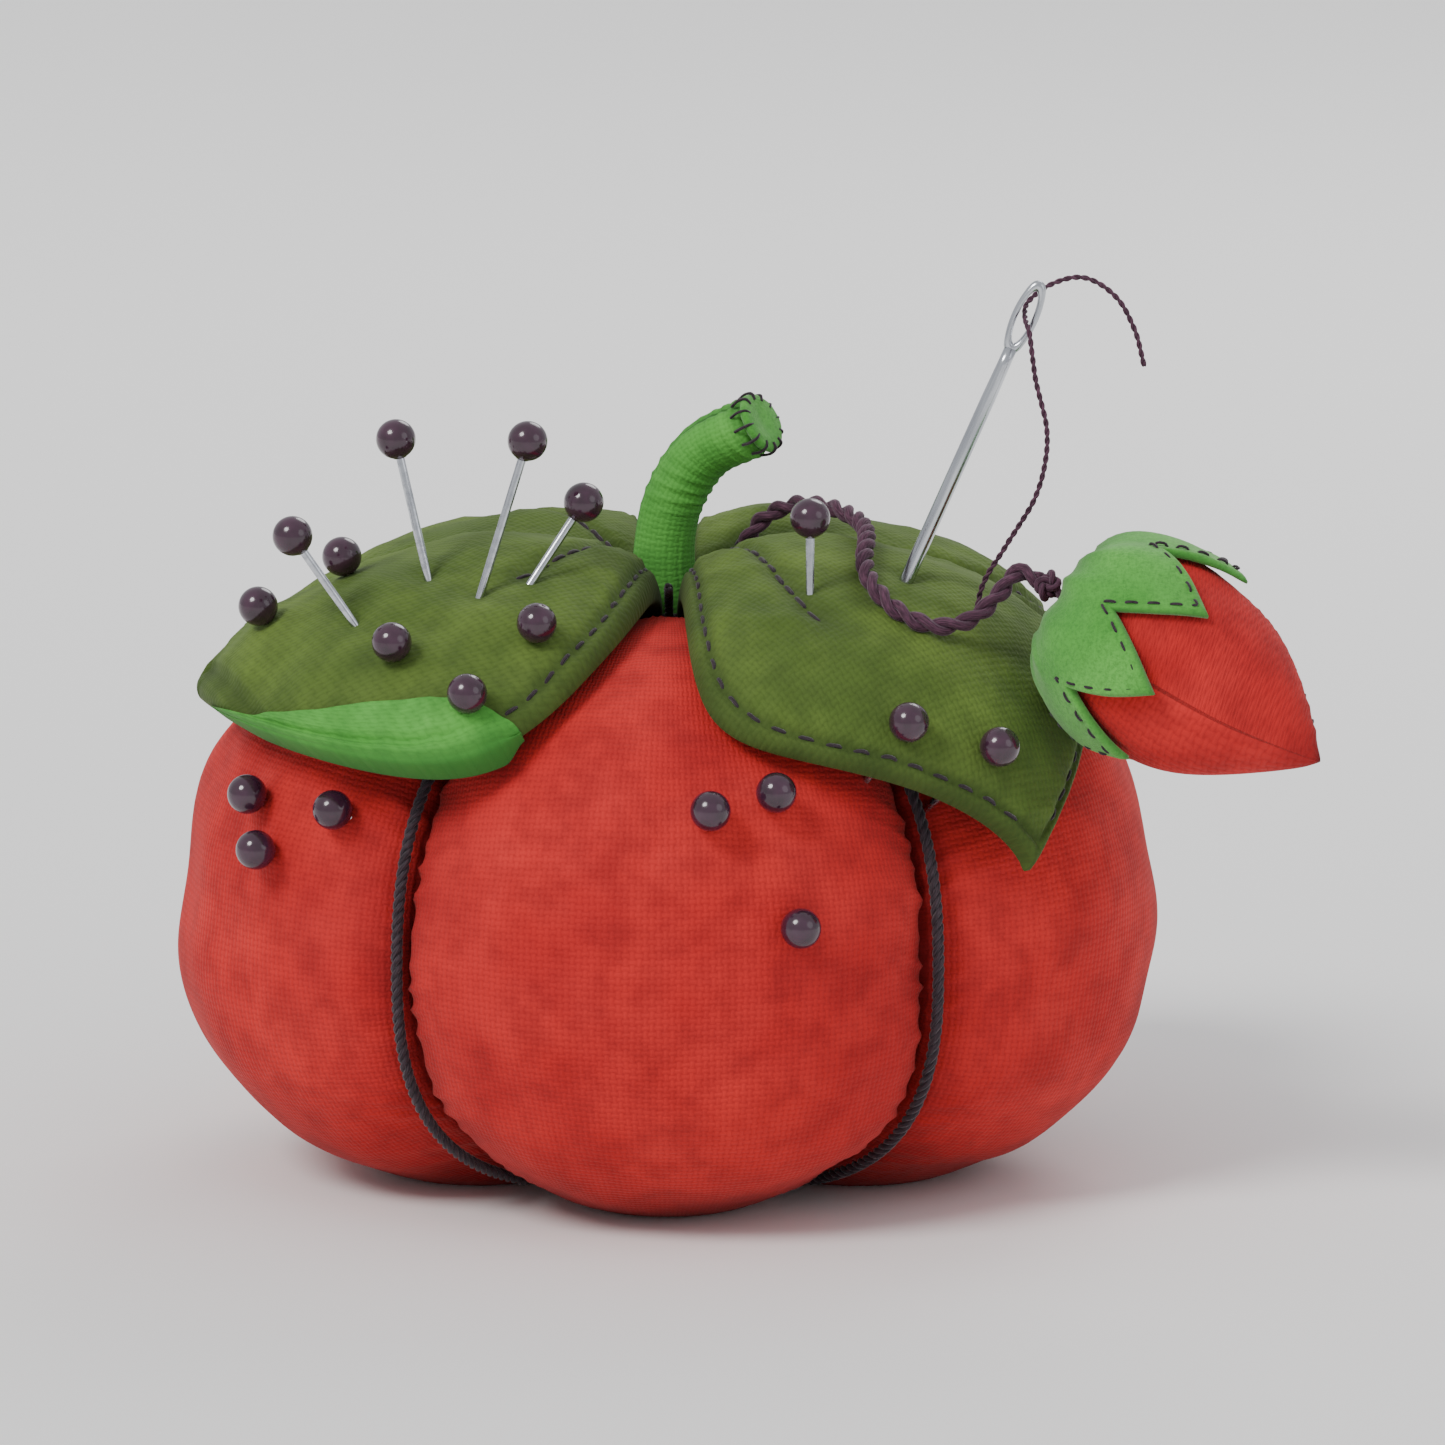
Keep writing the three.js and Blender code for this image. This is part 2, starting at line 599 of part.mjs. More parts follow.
/** Cap over the top of the berry, cut to points round its edge. */
function berryCap() {
  const surface = (lift) => (u, v) => {
    const point = Math.abs(((u * CAP_POINTS) % 1) * 2 - 1);
    const share = mix(0.012, mix(0.2, 0.46, point), v);
    const bulge = 1 + lift / BERRY_RADIUS;
    const angle = 2 * Math.PI * u;
    const radius = berryRadius(share) * bulge;
    const height = BERRY_LENGTH * share - lift * (1 - share);
    return new THREE.Vector3(radius * Math.cos(angle), radius * Math.sin(angle), height);
  };
  const clear = 2 * GAP; // its flat facets stay off the round cover
  return slab(CAP_POINTS * 4, 3, surface(clear + CAP_CLOTH), surface(clear), true);
}

function placedOnBerry(geometry, offset = KNOT_TO_BERRY) {
  const foot = KNOT.clone().addScaledVector(BERRY_DIRECTION, offset);
  return standing(geometry, foot, BERRY_DIRECTION);
}

function knotSolid() {
  const ball = new THREE.IcosahedronGeometry(KNOT_RADIUS, 1);
  return facingOut(positionsOnly(ball)).translate(...KNOT.toArray());
}

// The cord leaves the crown beside the stem, arches over, loops on the leaf and ends at the knot.
const CORD_ROUTE = [
  [6, 0, 49.3], [6.3, -0.2, 52.4], [7.8, -1, 55], [10.6, -2.6, 56.6], [13.6, -5, 56.7],
  [15.6, -8.4, 56.3], [16.4, -12.4, 55.9], [16.4, -16.4, 55.4], [16.2, -20, 54.5], [16.8, -23.4, 53.2],
  [18.8, -25.8, 51.4], [21.8, -26.6, 50.2], [24.8, -25.9, 50.6], [27.1, -24.5, 52.4], [28.9, -23.3, 54.2],
];
const cordCurve = new THREE.CatmullRomCurve3(CORD_ROUTE.map(toVector));

// The thread comes out of the leaf, bows up to the needle's eye and ends in a short free tail.
const eyeMiddle = needlePlace.foot.clone()
  .addScaledVector(needlePlace.direction, needlePlace.proud - (EYE_LENGTH + 2.4) / 2);
const THREAD_ROUTE = [
  [25.4, -20.4, 50.3], [26, -20.6, 52.8], [28, -20.8, 56.2], [30.4, -20.8, 60.4], [31.2, -20.6, 65],
  [30.2, -20.2, 69.8],
].map(toVector);
const THROUGH_EYE = [[0.3, -1.8, -1], [0, 0, 0], [0.3, 1.8, 1]];
const THREAD_TAIL = [[2.4, 3, 2.4], [5, 3.6, 2.8], [7.6, 3.8, 1.2], [9.2, 3.8, -1.6], [10, 3.8, -4.6]];
const threadCurve = new THREE.CatmullRomCurve3([
  ...THREAD_ROUTE,
  ...[...THROUGH_EYE, ...THREAD_TAIL].map((offset) => toVector(offset).add(eyeMiddle)),
]);

// ---- the object ----
const channels = [...pins.map((pin) => channel(pin)), channel(needlePlace, NEEDLE_RADIUS + 0.4)];

for (let lobe = 0; lobe < LOBES; lobe++) {
  place(`cover_panel_${lobe + 1}`, without(coverPanel(lobe), channels), RED);
}
place('filling', without(fillingSolid(), channels), SAWDUST);
place('lobe_thread', lobeThread(), CHARCOAL);
place('base_disc', baseDisc(), DARK_RED);

for (const leaf of LEAVES) {
  place(leaf.name, without(leafSolid(leaf), channels), LEAF_GREEN);
}
place('crown_stitch', crownStitch(), CHARCOAL);
place('stem_cover', stemCover(), BRIGHT_GREEN);
place('stem_core', tube(stemCurve, STEM_RADIUS - STEM_CLOTH - GAP, 8, 8), SAWDUST);
place('stem_end', stemEnd(), BRIGHT_GREEN);

place('emery_cord', tube(cordCurve, CORD_RADIUS, 28, 8), PLUM);
place('strawberry_knot', knotSolid(), PLUM);
place('strawberry_cover', placedOnBerry(berryCover()), RED);
place('strawberry_cap', placedOnBerry(berryCap()), BRIGHT_GREEN);
place('emery_grit', placedOnBerry(berryFilling()), CHARCOAL);

place('needle', standing(needleSolid(), tipOf(needlePlace), needlePlace.direction), STEEL, 0.25, 1);
place('needle_thread', tube(threadCurve, THREAD_RADIUS, 32, 8), PLUM);

pins.forEach((pin, i) => {
  const name = `pin_${String(i + 1).padStart(2, '0')}`;
  const end = pin.foot.clone().addScaledVector(pin.direction, pin.proud + HEAD_SOCKET + GAP);
  place(`${name}_shaft`, standing(pinShaft(), tipOf(pin), pin.direction), STEEL, 0.25, 1);
  place(`${name}_head`, standing(pinHead(), end, pin.direction), PLUM, 0.2);
});

/** Where a pin or needle has its tip, with its blunt end clear of the surface. */
function tipOf({ foot, direction, proud, buried }) {
  const raised = buried === NEEDLE_LENGTH - proud ? 0 : HEAD_SOCKET + GAP;
  return foot.clone().addScaledVector(direction, raised - buried);
}

export default object;
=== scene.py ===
"""Looks of the tomato pincushion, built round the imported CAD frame.

Sizes are in millimetres until a mesh is made, in the CAD's own frame: +Z up, front towards -Y.
"""
import json
import math

import bmesh
import bpy
import numpy as np
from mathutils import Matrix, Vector


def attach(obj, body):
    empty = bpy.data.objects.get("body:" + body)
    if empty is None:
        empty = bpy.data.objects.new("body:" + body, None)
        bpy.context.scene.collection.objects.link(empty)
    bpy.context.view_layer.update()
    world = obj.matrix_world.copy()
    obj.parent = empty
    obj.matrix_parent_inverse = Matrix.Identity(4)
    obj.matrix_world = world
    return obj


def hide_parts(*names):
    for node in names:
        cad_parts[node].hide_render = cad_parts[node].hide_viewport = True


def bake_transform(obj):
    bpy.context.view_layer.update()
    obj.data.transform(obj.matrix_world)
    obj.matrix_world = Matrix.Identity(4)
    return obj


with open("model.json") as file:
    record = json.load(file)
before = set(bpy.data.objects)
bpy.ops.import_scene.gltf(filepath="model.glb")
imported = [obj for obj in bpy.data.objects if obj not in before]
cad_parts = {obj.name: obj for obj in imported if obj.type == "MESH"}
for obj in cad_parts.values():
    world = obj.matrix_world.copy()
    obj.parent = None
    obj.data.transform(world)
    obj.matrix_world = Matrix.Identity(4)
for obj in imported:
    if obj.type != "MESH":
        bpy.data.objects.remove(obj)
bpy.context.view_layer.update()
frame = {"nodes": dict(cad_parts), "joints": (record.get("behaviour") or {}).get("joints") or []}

MM = 0.001
TAU = 2 * math.pi


def add_object(name, data):
    made = bpy.data.objects.new(name, data)
    bpy.context.scene.collection.objects.link(made)
    return made


# ---- camera: a long lens from far off, because the drawing has no perspective ----
CAMERA_LENS = 250
CAMERA_ELEVATION = math.radians(10)
CAMERA_DISTANCE = 0.85
AIM = Vector((0.0045, 0.0, 0.0375))
camera = add_object("camera", bpy.data.cameras.new("camera"))
bpy.context.scene.camera = camera
camera.data.lens = CAMERA_LENS
towards_camera = Vector((0, -math.cos(CAMERA_ELEVATION), math.sin(CAMERA_ELEVATION)))
camera.location = AIM + towards_camera * CAMERA_DISTANCE
camera.rotation_euler = (-towards_camera).to_track_quat("-Z", "Y").to_euler()
camera.data.clip_start, camera.data.clip_end = 0.01, 20

# ---- driving dimensions, as in the CAD ----
LOBES = 5
FRONT = -90
BODY_RADIUS = 42
WIDEST_HEIGHT = 22
SHOULDER_RISE = 28
UNDER_DROP = 24
GROOVE_DEPTH = 0.17
GROOVE_SINK = 0.8
CROWN_DIMPLE = 6.5
CROWN_DIMPLE_RADIUS = 9
COVER_THICKNESS = 1.3
WIDTH_POWER = 0.7
HEIGHT_POWER = 0.8
OPEN_AT_CROWN = 3.6
OPEN_AT_BASE = 9
BASE_DISC_RADIUS = 12.5
BASE_DISC_THICKNESS = 0.8
BASE_TUCK = 2.6
LEAF_START = 5
LEAF_BROADEST = 0.5
LEAF_WEDGE = 0.9
LEAF_WEDGE_POINT = 0.6
LEAF_SHOULDER = 8
LEAF_RIM = 1.1
# Each side's greatest half width and how sharply it narrows to the tip, clockwise side first;
# vein is how far across the leaf its stitched vein curves.
FULL_SIDE = (20.5, 0.8)
LEAVES = {
    "leaf_front_left": dict(length=41.5, azimuth=-133, bend=-34, tip_lift=2.5, puff=4.6, vein=0.42,
                            sides=((18, 0.8), (33, 0.5))),
    "leaf_front_right": dict(length=51, azimuth=-45, bend=-2, tip_lift=0.8, puff=4.6, vein=-0.45,
                             sides=((24, 1.5), (19.5, 1.1))),
    "leaf_back_right": dict(length=45, azimuth=45, bend=6, tip_lift=1.2, puff=3.2, vein=0.12,
                            sides=(FULL_SIDE, FULL_SIDE)),
    "leaf_back_left": dict(length=46, azimuth=135, bend=4, tip_lift=1.5, puff=3.2, vein=-0.12,
                           sides=(FULL_SIDE, FULL_SIDE)),
}
STEM_PATH = [(0, 0, 46.6), (-0.5, 0, 51.5), (0.3, -0.1, 56.5), (2.9, -1, 60.8), (7.2, -3.4, 63.4)]
STEM_RADIUS = 2.6
STEM_FLARE = 0.4
HEAD_RADIUS = 1.65
HEAD_SOCKET = 1.4
GAP = 0.3
PIN_RADIUS = 0.35
NEEDLE_LENGTH = 42
NEEDLE_RADIUS = 0.6
NEEDLE_PROUD = 27
EYE_BELOW_TOP = 3.4
KNOT = np.array((31.2, -24.1, 53.1))
BERRY_SLOPE = (0.82, -0.3, -0.49)
BERRY_DIRECTION = np.array(BERRY_SLOPE) / np.linalg.norm(BERRY_SLOPE)
KNOT_TO_BERRY = 2.9
BERRY_LENGTH = 24
BERRY_RADIUS = 8.2
CAP_POINTS = 7
CORD_ROUTE = [
    (6, 0, 49.3), (6.3, -0.2, 52.4), (7.8, -1, 55), (10.6, -2.6, 56.6), (13.6, -5, 56.7),
    (15.6, -8.4, 56.3), (16.4, -12.4, 55.9), (16.4, -16.4, 55.4), (16.2, -20, 54.5),
    (16.8, -23.4, 53.2), (18.8, -25.8, 51.4), (21.8, -26.6, 50.2), (24.8, -25.9, 50.6),
    (27.1, -24.5, 52.4), (28.9, -23.3, 54.2),
]
THREAD_ROUTE = [
    (25.4, -20.4, 50.3), (26, -20.6, 52.8), (28, -20.8, 56.2), (30.4, -20.8, 60.4),
    (31.2, -20.6, 65), (30.2, -20.2, 69.8),
]
THROUGH_EYE = [(0.3, -1.8, -1), (0, 0, 0), (0.3, 1.8, 1)]
THREAD_TAIL = [(2.4, 3, 2.4), (5, 3.6, 2.8), (7.6, 3.8, 1.2), (9.2, 3.8, -1.6), (10, 3.8, -4.6)]


# ---- numbers and curves ----
def mix(a, b, share):
    return a + (b - a) * share


def ease(x, low, high):
    """From 0 to 1 as x goes from low to high, level at both ends."""
    t = np.clip((x - low) / (high - low), 0, 1)
    return t * t * (3 - 2 * t)


def bell(x, width):
    return np.exp(-((x / width) ** 2))


def full_turn(steps):
    return np.linspace(0, TAU, steps, endpoint=False)


def stacked(x, y, z):
    return np.stack(np.broadcast_arrays(x, y, z), -1)


def around(azimuth, radius, z):
    """Points at a radius from the middle, with azimuth in degrees."""
    a = np.radians(azimuth)
    return stacked(radius * np.cos(a), radius * np.sin(a), z)


def unit(v):
    return v / np.maximum(np.linalg.norm(v, axis=-1, keepdims=True), 1e-12)


def spokes(angle, a, b):
    """Directions at an angle round from a towards b."""
    return np.cos(angle)[..., None] * a + np.sin(angle)[..., None] * b


def wobble(points, wavelength, seed, waves=12):
    """Smooth noise of about -1 to 1 at points, from waves in fixed random directions."""
    rng = np.random.default_rng(seed)
    k = unit(rng.normal(size=(waves, 3))) * rng.uniform(0.7, 1.5, (waves, 1)) * TAU / wavelength
    phase = rng.uniform(0, TAU, waves)
    return np.sin(points @ k.T + phase).sum(-1) / math.sqrt(waves)


def catmull(points, per_segment=24):
    """The centripetal Catmull-Rom curve through points, as the CAD has it."""
    p = np.array(points, float)
    p = np.vstack([2 * p[0] - p[1], p, 2 * p[-1] - p[-2]])
    out = []
    t = np.linspace(0, 1, per_segment, endpoint=False)[:, None]
    for a, b, c, d in zip(p[:-3], p[1:-2], p[2:-1], p[3:]):
        da, db, dc = (math.sqrt(np.linalg.norm(e)) for e in (b - a, c - b, d - c))
        m1 = ((b - a) / da - (c - a) / (da + db) + (c - b) / db) * db
        m2 = ((c - b) / db - (d - b) / (db + dc) + (d - c) / dc) * db
        out.append(b + m1 * t + (3 * (c - b) - 2 * m1 - m2) * t**2 + (2 * (b - c) + m1 + m2) * t**3)
    return np.vstack([*out, p[-2]])


def arc(path):
    return np.concatenate([[0], np.cumsum(np.linalg.norm(np.diff(path, axis=0), axis=1))])


def points_at(path, distances):
    s = arc(path)
    return np.stack([np.interp(distances, s, path[:, i]) for i in range(3)], -1)


def evenly(path, step):
    length = arc(path)[-1]
    return points_at(path, np.linspace(0, length, max(4, int(math.ceil(length / step)) + 1)))


def frames(path):
    """Tangent, normal and binormal along a path, turning as little as they can."""
    tangent = unit(np.gradient(path, axis=0))
    start = np.eye(3)[np.argmin(np.abs(tangent[0]))]
    normal = [unit(np.cross(tangent[0], start))]
    for t in tangent[1:]:
        normal.append(unit(normal[-1] - t * (normal[-1] @ t)))
    normal = np.array(normal)
    return tangent, normal, np.cross(tangent, normal)


# ---- the tomato's surface, as in the CAD ----
def lobe_share(azimuth):
    """1 on a lobe's crest, 0 in the grooves beside it."""
    width = 360 / LOBES
    from_crest = np.mod(azimuth - FRONT + width / 2, width) - width / 2
    return np.sqrt(np.maximum(0, 1 - (from_crest / (width / 2)) ** 2))


def skin(azimuth, latitude, inset=0, share=None):
    """Points on the tomato, or inset within it; a share of 1 gives its smooth hull."""
    azimuth, latitude = np.asarray(azimuth, float), np.asarray(latitude, float)
    share = lobe_share(azimuth) if share is None else share
    lat = np.radians(latitude)
    radius = (BODY_RADIUS * (1 - GROOVE_DEPTH * (1 - share)) - inset) * np.abs(np.cos(lat)) ** WIDTH_POWER
    rise = np.abs(np.sin(lat)) ** HEIGHT_POWER
    settle = mix(GROOVE_SINK, 1, share)
    dimple = CROWN_DIMPLE * bell(radius, CROWN_DIMPLE_RADIUS)
    above = WIDEST_HEIGHT + (SHOULDER_RISE * settle - inset) * rise - dimple
    flat = np.maximum(inset, WIDEST_HEIGHT - (UNDER_DROP * settle - inset) * rise)
    tucked = BASE_TUCK * (1 - ease(radius, BASE_DISC_RADIUS - 1, BASE_DISC_RADIUS + 5))
    return around(azimuth, radius, np.where(latitude >= 0, above, flat + tucked))


LATITUDES = np.arange(90, -90.25, -0.5)
DISTANCES = arc(skin(0, LATITUDES, 0, 1))


def latitude_at(distance):
    return np.interp(distance, DISTANCES, LATITUDES)


def distance_of(latitude):
    return np.interp(-np.asarray(latitude, float), -LATITUDES, DISTANCES)


def latitude_of_radius(radius, half=1):
    """Latitude of the hull's ring of that radius; half is 1 for the upper half and -1 below."""
    return half * np.degrees(np.arccos((radius / BODY_RADIUS) ** (1 / WIDTH_POWER)))


def outward(azimuth, latitude):
    up = skin(azimuth, latitude + 0.5, 0, 1) - skin(azimuth, latitude - 0.5, 0, 1)
    return unit(np.cross(around(azimuth + 90, 1, 0), up))


# ---- pins and needle, measured from the CAD ----
def corners(node):
    mesh = frame["nodes"][node].data
    co = np.zeros(len(mesh.vertices) * 3)
    mesh.vertices.foreach_get("co", co)
    return co.reshape(-1, 3) / MM


joints = {j["name"]: j for j in frame["joints"]}
pin_lines = {}
for pin in [f"pin_{i:02d}" for i in range(1, 19)]:
    direction = np.array(joints[f"{pin}_slide"]["axis"])
    shaft = corners(f"{pin}_shaft")
    along_axis = shaft @ direction
    middle = shaft.mean(0)
    end = middle + direction * (along_axis.max() - middle @ direction)
    tip = middle + direction * (along_axis.min() - middle @ direction)
    proud = -joints[f"{pin}_slide"]["range_m"][0] / MM
    foot = end - direction * (proud + HEAD_SOCKET + GAP)
    pin_lines[pin] = dict(tip=tip, end=end, axis=direction, foot=foot, proud=proud)
needle_axis = np.array(joints["needle_slide"]["axis"])
needle_corners = corners("needle")
needle_tip = needle_corners[(needle_corners @ needle_axis).argmin()]
needle_foot = needle_tip + needle_axis * (NEEDLE_LENGTH - NEEDLE_PROUD)

# How far the pull on the cloth reaches round each, and how high off the CAD it holds the cloth.
HEAD_HOLD, SHAFT_HOLD, NEEDLE_HOLD = (2.3, 0.26), (1.4, -0.45), (1.5, -0.5)
PRICK_SHADE_REACH = 1.2
holds = [(needle_foot, *NEEDLE_HOLD)]
for line in pin_lines.values():
    pushed_in = line["proud"] < 0.01
    holds.append((line["foot"], *(HEAD_HOLD if pushed_in else SHAFT_HOLD)))


def held(points, lift):
    """The cloth's lift off the CAD surface, settled under pressed-in heads and dimpled at shafts."""
    for foot, reach, level in holds:
        away = np.linalg.norm(points - foot, axis=-1)
        lift = mix(lift, level, bell(away, reach))
    return lift


def pricked(points):
    """Painted shade of the cloth close to each shaft, where it dimples round the pin, 0 to 1."""
    away = [np.linalg.norm(points - foot, axis=-1) for foot, _, _ in holds]
    return bell(np.min(away, axis=0), PRICK_SHADE_REACH)


# ---- meshes ----
PLY_SHARE = {2: 0.52, 3: 0.48}  # a ply's radius as a share of the cord's
WELD_DISTANCE, LEAST_EDGE = 4e-6, 1e-6


def grid_faces(across, down, wrap=False, start=0):
    i = np.arange(across if wrap else across - 1)
    column, row = np.meshgrid(i, np.arange(down - 1))
    after = (column + 1) % across
    low, high = row * across, (row + 1) * across
    return np.stack([low + column, low + after, high + after, high + column], -1).reshape(-1, 4) + start


class Solid:
    """Points and faces being gathered for one piece, with their cloth coordinates and the painted shade of
    each point.
    """

    def __init__(self):
        self.points, self.faces, self.cloth, self.tone, self.count = [], [], [], [], 0

    def add(self, points, faces, cloth=None, tone=0.0):
        points = points.reshape(-1, 3)
        self.points.append(points)
        self.faces.extend((face + self.count).tolist() for face in faces)
        self.cloth.append(points if cloth is None else cloth.reshape(-1, 3))
        self.tone.append(np.broadcast_to(np.clip(np.ravel(tone), 0, 1), (len(points),)))
        self.count += len(points)
        return self

    def sleeve(self, points, cloth=None, tone=0.0):
        """A closed sleeve of rings, with a face over each end."""
        down, across = points.shape[:2]
        ends = [np.arange(across), np.arange(across) + (down - 1) * across]
        return self.add(points, [*grid_faces(across, down, True), *ends], cloth, tone)

    def shell(self, outer, inner, cloth, tone, wrap=False):
        """A closed slab between two grids of the same size."""
        down, across = outer.shape[:2]
        n = down * across
        faces = [*grid_faces(across, down, wrap), *grid_faces(across, down, wrap, n)]
        columns = np.arange(across if wrap else across - 1)
        rims = [(row * across + columns, row * across + (columns + 1) % across) for row in (0, down - 1)]
        if not wrap:
            rows = np.arange(down - 1) * across
            rims += [(rows + column, rows + column + across) for column in (0, across - 1)]
        for a, b in rims:
            faces += list(np.stack([a, b, b + n, a + n], -1))
        return self.add(np.stack([outer, inner]), faces, np.stack([cloth, cloth]), np.stack([tone, tone]))

    def rope(self, path, radius, sides):
        """A round strand along a path; radius is a number or one for each point."""
        path = np.asarray(path, float)
        _, normal, binormal = frames(path)
        angle = full_turn(sides)
        radius = np.broadcast_to(radius, (len(path),))
        points = path[:, None] + spokes(angle, normal[:, None], binormal[:, None]) * radius[:, None, None]
        length = np.broadcast_to(arc(path)[:, None], points.shape[:2])
        cloth = stacked(length, angle * radius.max(), 0.0)
        return self.sleeve(points, cloth)

    def twisted(self, path, radius, plies, pitch, step, sides, closed=False):
        """A laid cord: plies that wind round the path, filling a circle of that radius."""
        path = evenly(np.asarray(path, float), step)
        length = arc(path)
        if closed:
            pitch = length[-1] / max(1, round(length[-1] / pitch))
        _, normal, binormal = frames(path)
        ply = radius * PLY_SHARE[plies]
        for i in range(plies):
            turn = TAU * (length / pitch + i / plies)
            self.rope(path + (radius - ply) * spokes(turn, normal, binormal), ply, sides)
        return self


def piece(name, solid, body, slot, replaces=()):
    """Makes the mesh of a piece and puts it on its CAD body."""
    points = np.concatenate(solid.points)
    mesh = bpy.data.meshes.new(name)
    mesh.from_pydata((points * MM).tolist(), [], solid.faces)
    for label, values in (("rest", points), ("cloth", np.concatenate(solid.cloth))):
        layer = mesh.attributes.new(label, "FLOAT_VECTOR", "POINT")
        layer.data.foreach_set("vector", values.astype(np.float32).ravel())
    # Painted shade of each point, 0 to 1: how far the materials darken its colour towards their shade
    # colour.
    layer = mesh.attributes.new("tone", "FLOAT", "POINT")
    layer.data.foreach_set("value", np.concatenate(solid.tone).astype(np.float32))
    shaped = bmesh.new()
    shaped.from_mesh(mesh)
    bmesh.ops.remove_doubles(shaped, verts=shaped.verts, dist=WELD_DISTANCE)
    bmesh.ops.dissolve_degenerate(shaped, edges=shaped.edges, dist=LEAST_EDGE)
    bmesh.ops.recalc_face_normals(shaped, faces=shaped.faces)
    shaped.to_mesh(mesh)
    shaped.free()
    mesh.polygons.foreach_set("use_smooth", [True] * len(mesh.polygons))
    mesh.materials.append(SLOTS[slot])
    made = add_object(name, mesh)
    if body:
        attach(made, body)
    if replaces:
        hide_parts(*replaces)
    return made


# ---- materials ----
def linear(screen):
    """A screen colour, 0 to 255, as the shader's linear one."""
    shares = [c / 255 for c in screen]
    return tuple(((c + 0.055) / 1.055) ** 2.4 if c > 0.04045 else c / 12.92 for c in shares) + (1.0,)


class Shader:
    def __init__(self, name, roughness, **sockets):
        self.material = bpy.data.materials.new(name)
        self.material.use_nodes = True
        self.tree = self.material.node_tree
        self.surface = self.tree.nodes["Principled BSDF"]
        self.surface.inputs["Roughness"].default_value = roughness
        for socket, value in sockets.items():
            self.surface.inputs[socket.replace("_", " ")].default_value = value

    def node(self, kind, inputs, **settings):
        made = self.tree.nodes.new("ShaderNode" + kind)
        for key, value in settings.items():
            setattr(made, key, value)
        for socket, value in inputs.items():
            if isinstance(value, bpy.types.NodeSocket):
                self.tree.links.new(value, made.inputs[socket])
            else:
                made.inputs[socket].default_value = value
        return made

    def attribute(self, name):
        made = self.node("Attribute", {}, attribute_name=name)
        return made.outputs["Fac" if name == "tone" else "Vector"]

    def math(self, operation, a, b=0.0, clamp=False):
        return self.node("Math", {0: a, 1: b}, operation=operation, use_clamp=clamp).outputs[0]

    def noise(self, size, detail=2.0, roughness=0.5, stretch=(1, 1, 1), where="rest"):
        """Noise of 0 to 1 whose lumps are about size millimetres across."""
        at = self.node("VectorMath", {0: self.attribute(where), 1: stretch}, operation="MULTIPLY").outputs[0]
        inputs = {"Vector": at, "Scale": 1 / size, "Detail": detail, "Roughness": roughness}
        return self.node("TexNoise", inputs).outputs["Fac"]

    def ramp(self, value, low, high, least=0.0, most=1.0):
        return self.node("MapRange", {0: value, 1: low, 2: high, 3: least, 4: most}).outputs[0]

    def blend(self, factor, a, b):
        return self.node("Mix", {0: factor, 6: a, 7: b}, data_type="RGBA").outputs[2]

    def weave(self, pitch):
        """Height of a plain weave with threads pitch millimetres apart."""
        drift = self.noise(2.5, 1.0, where="cloth")
        parts = self.node("SeparateXYZ", {0: self.attribute("cloth")}).outputs
        waves = []
        for axis in (0, 1):
            shifted = self.math("MULTIPLY_ADD", drift, 0.25)
            self.tree.links.new(parts[axis], shifted.node.inputs[2])
            waves.append(self.math("SINE", self.math("MULTIPLY", shifted, math.pi / pitch)))
        over = self.math("MULTIPLY", self.math("MULTIPLY", waves[0], waves[1]), 0.4)
        warp = self.math("MULTIPLY", self.math("ABSOLUTE", waves[0]), self.math("ADD", over, 0.6))
        weft = self.math("MULTIPLY", self.math("ABSOLUTE", waves[1]), self.math("SUBTRACT", 0.6, over))
        return self.math("MAXIMUM", warp, weft)

    def colour(self, value):
        self.tree.links.new(value, self.surface.inputs["Base Color"])

    def rough(self, value):
        self.tree.links.new(value, self.surface.inputs["Roughness"])

    def bump(self, *layers):
        """Layers are (height, strength, distance in millimetres), the coarsest first."""
        normal = None
        for height, strength, distance in layers:
            inputs = {"Height": height, "Strength": strength, "Distance": distance * MM}
            if normal is not None:
                inputs["Normal"] = normal
            normal = self.node("Bump", inputs).outputs[0]
        self.tree.links.new(normal, self.surface.inputs["Normal"])


def woven(name, light, middle, shade, sheen, pitch, weave_depth):
    """Cotton cloth: a plain weave, dyed unevenly, with a soft nap and lint, and painted shade in its creases
    and in the hollows of the weave.
    """
    light, middle, shade = linear(light), linear(middle), linear(shade)
    s = Shader(name, 0.86, Sheen_Weight=0.06, Sheen_Roughness=0.4, Sheen_Tint=sheen, Specular_IOR_Level=0.25)
    weave = s.weave(pitch)
    clouds = s.ramp(s.noise(11, 3, 0.55), 0.36, 0.64)
    blots = s.ramp(s.noise(3.2, 4, 0.6), 0.42, 0.66)
    colour = s.blend(clouds, middle, light)
    colour = s.blend(s.math("MULTIPLY", blots, 0.34), colour, shade)
    # Painted shade in creases, seams, dents and undersides, from each point's shade value.
    colour = s.blend(s.attribute("tone"), colour, shade)
    fleck = s.ramp(s.noise(0.28, 2, 0.6), 0.62, 0.78)
    colour = s.blend(s.math("MULTIPLY", fleck, 0.16), colour, light)
    # Painted shade in the hollows between the woven threads.
    dip = s.math("MULTIPLY", s.math("SUBTRACT", 0.62, weave, clamp=True), 0.55)
    colour = s.blend(dip, colour, shade)
    s.colour(colour)
    slub = s.noise(0.9, 2, 0.6, (0.25, 1.6, 1), "cloth")
    s.bump((slub, 0.35, 0.12), (weave, 0.85, weave_depth), (s.noise(0.12, 3, 0.7), 0.3, 0.04))
    s.rough(s.ramp(s.math("ADD", s.noise(6, 2), s.math("MULTIPLY", weave, 0.3)), 0.3, 0.9, 0.96, 0.8))
    return s.material


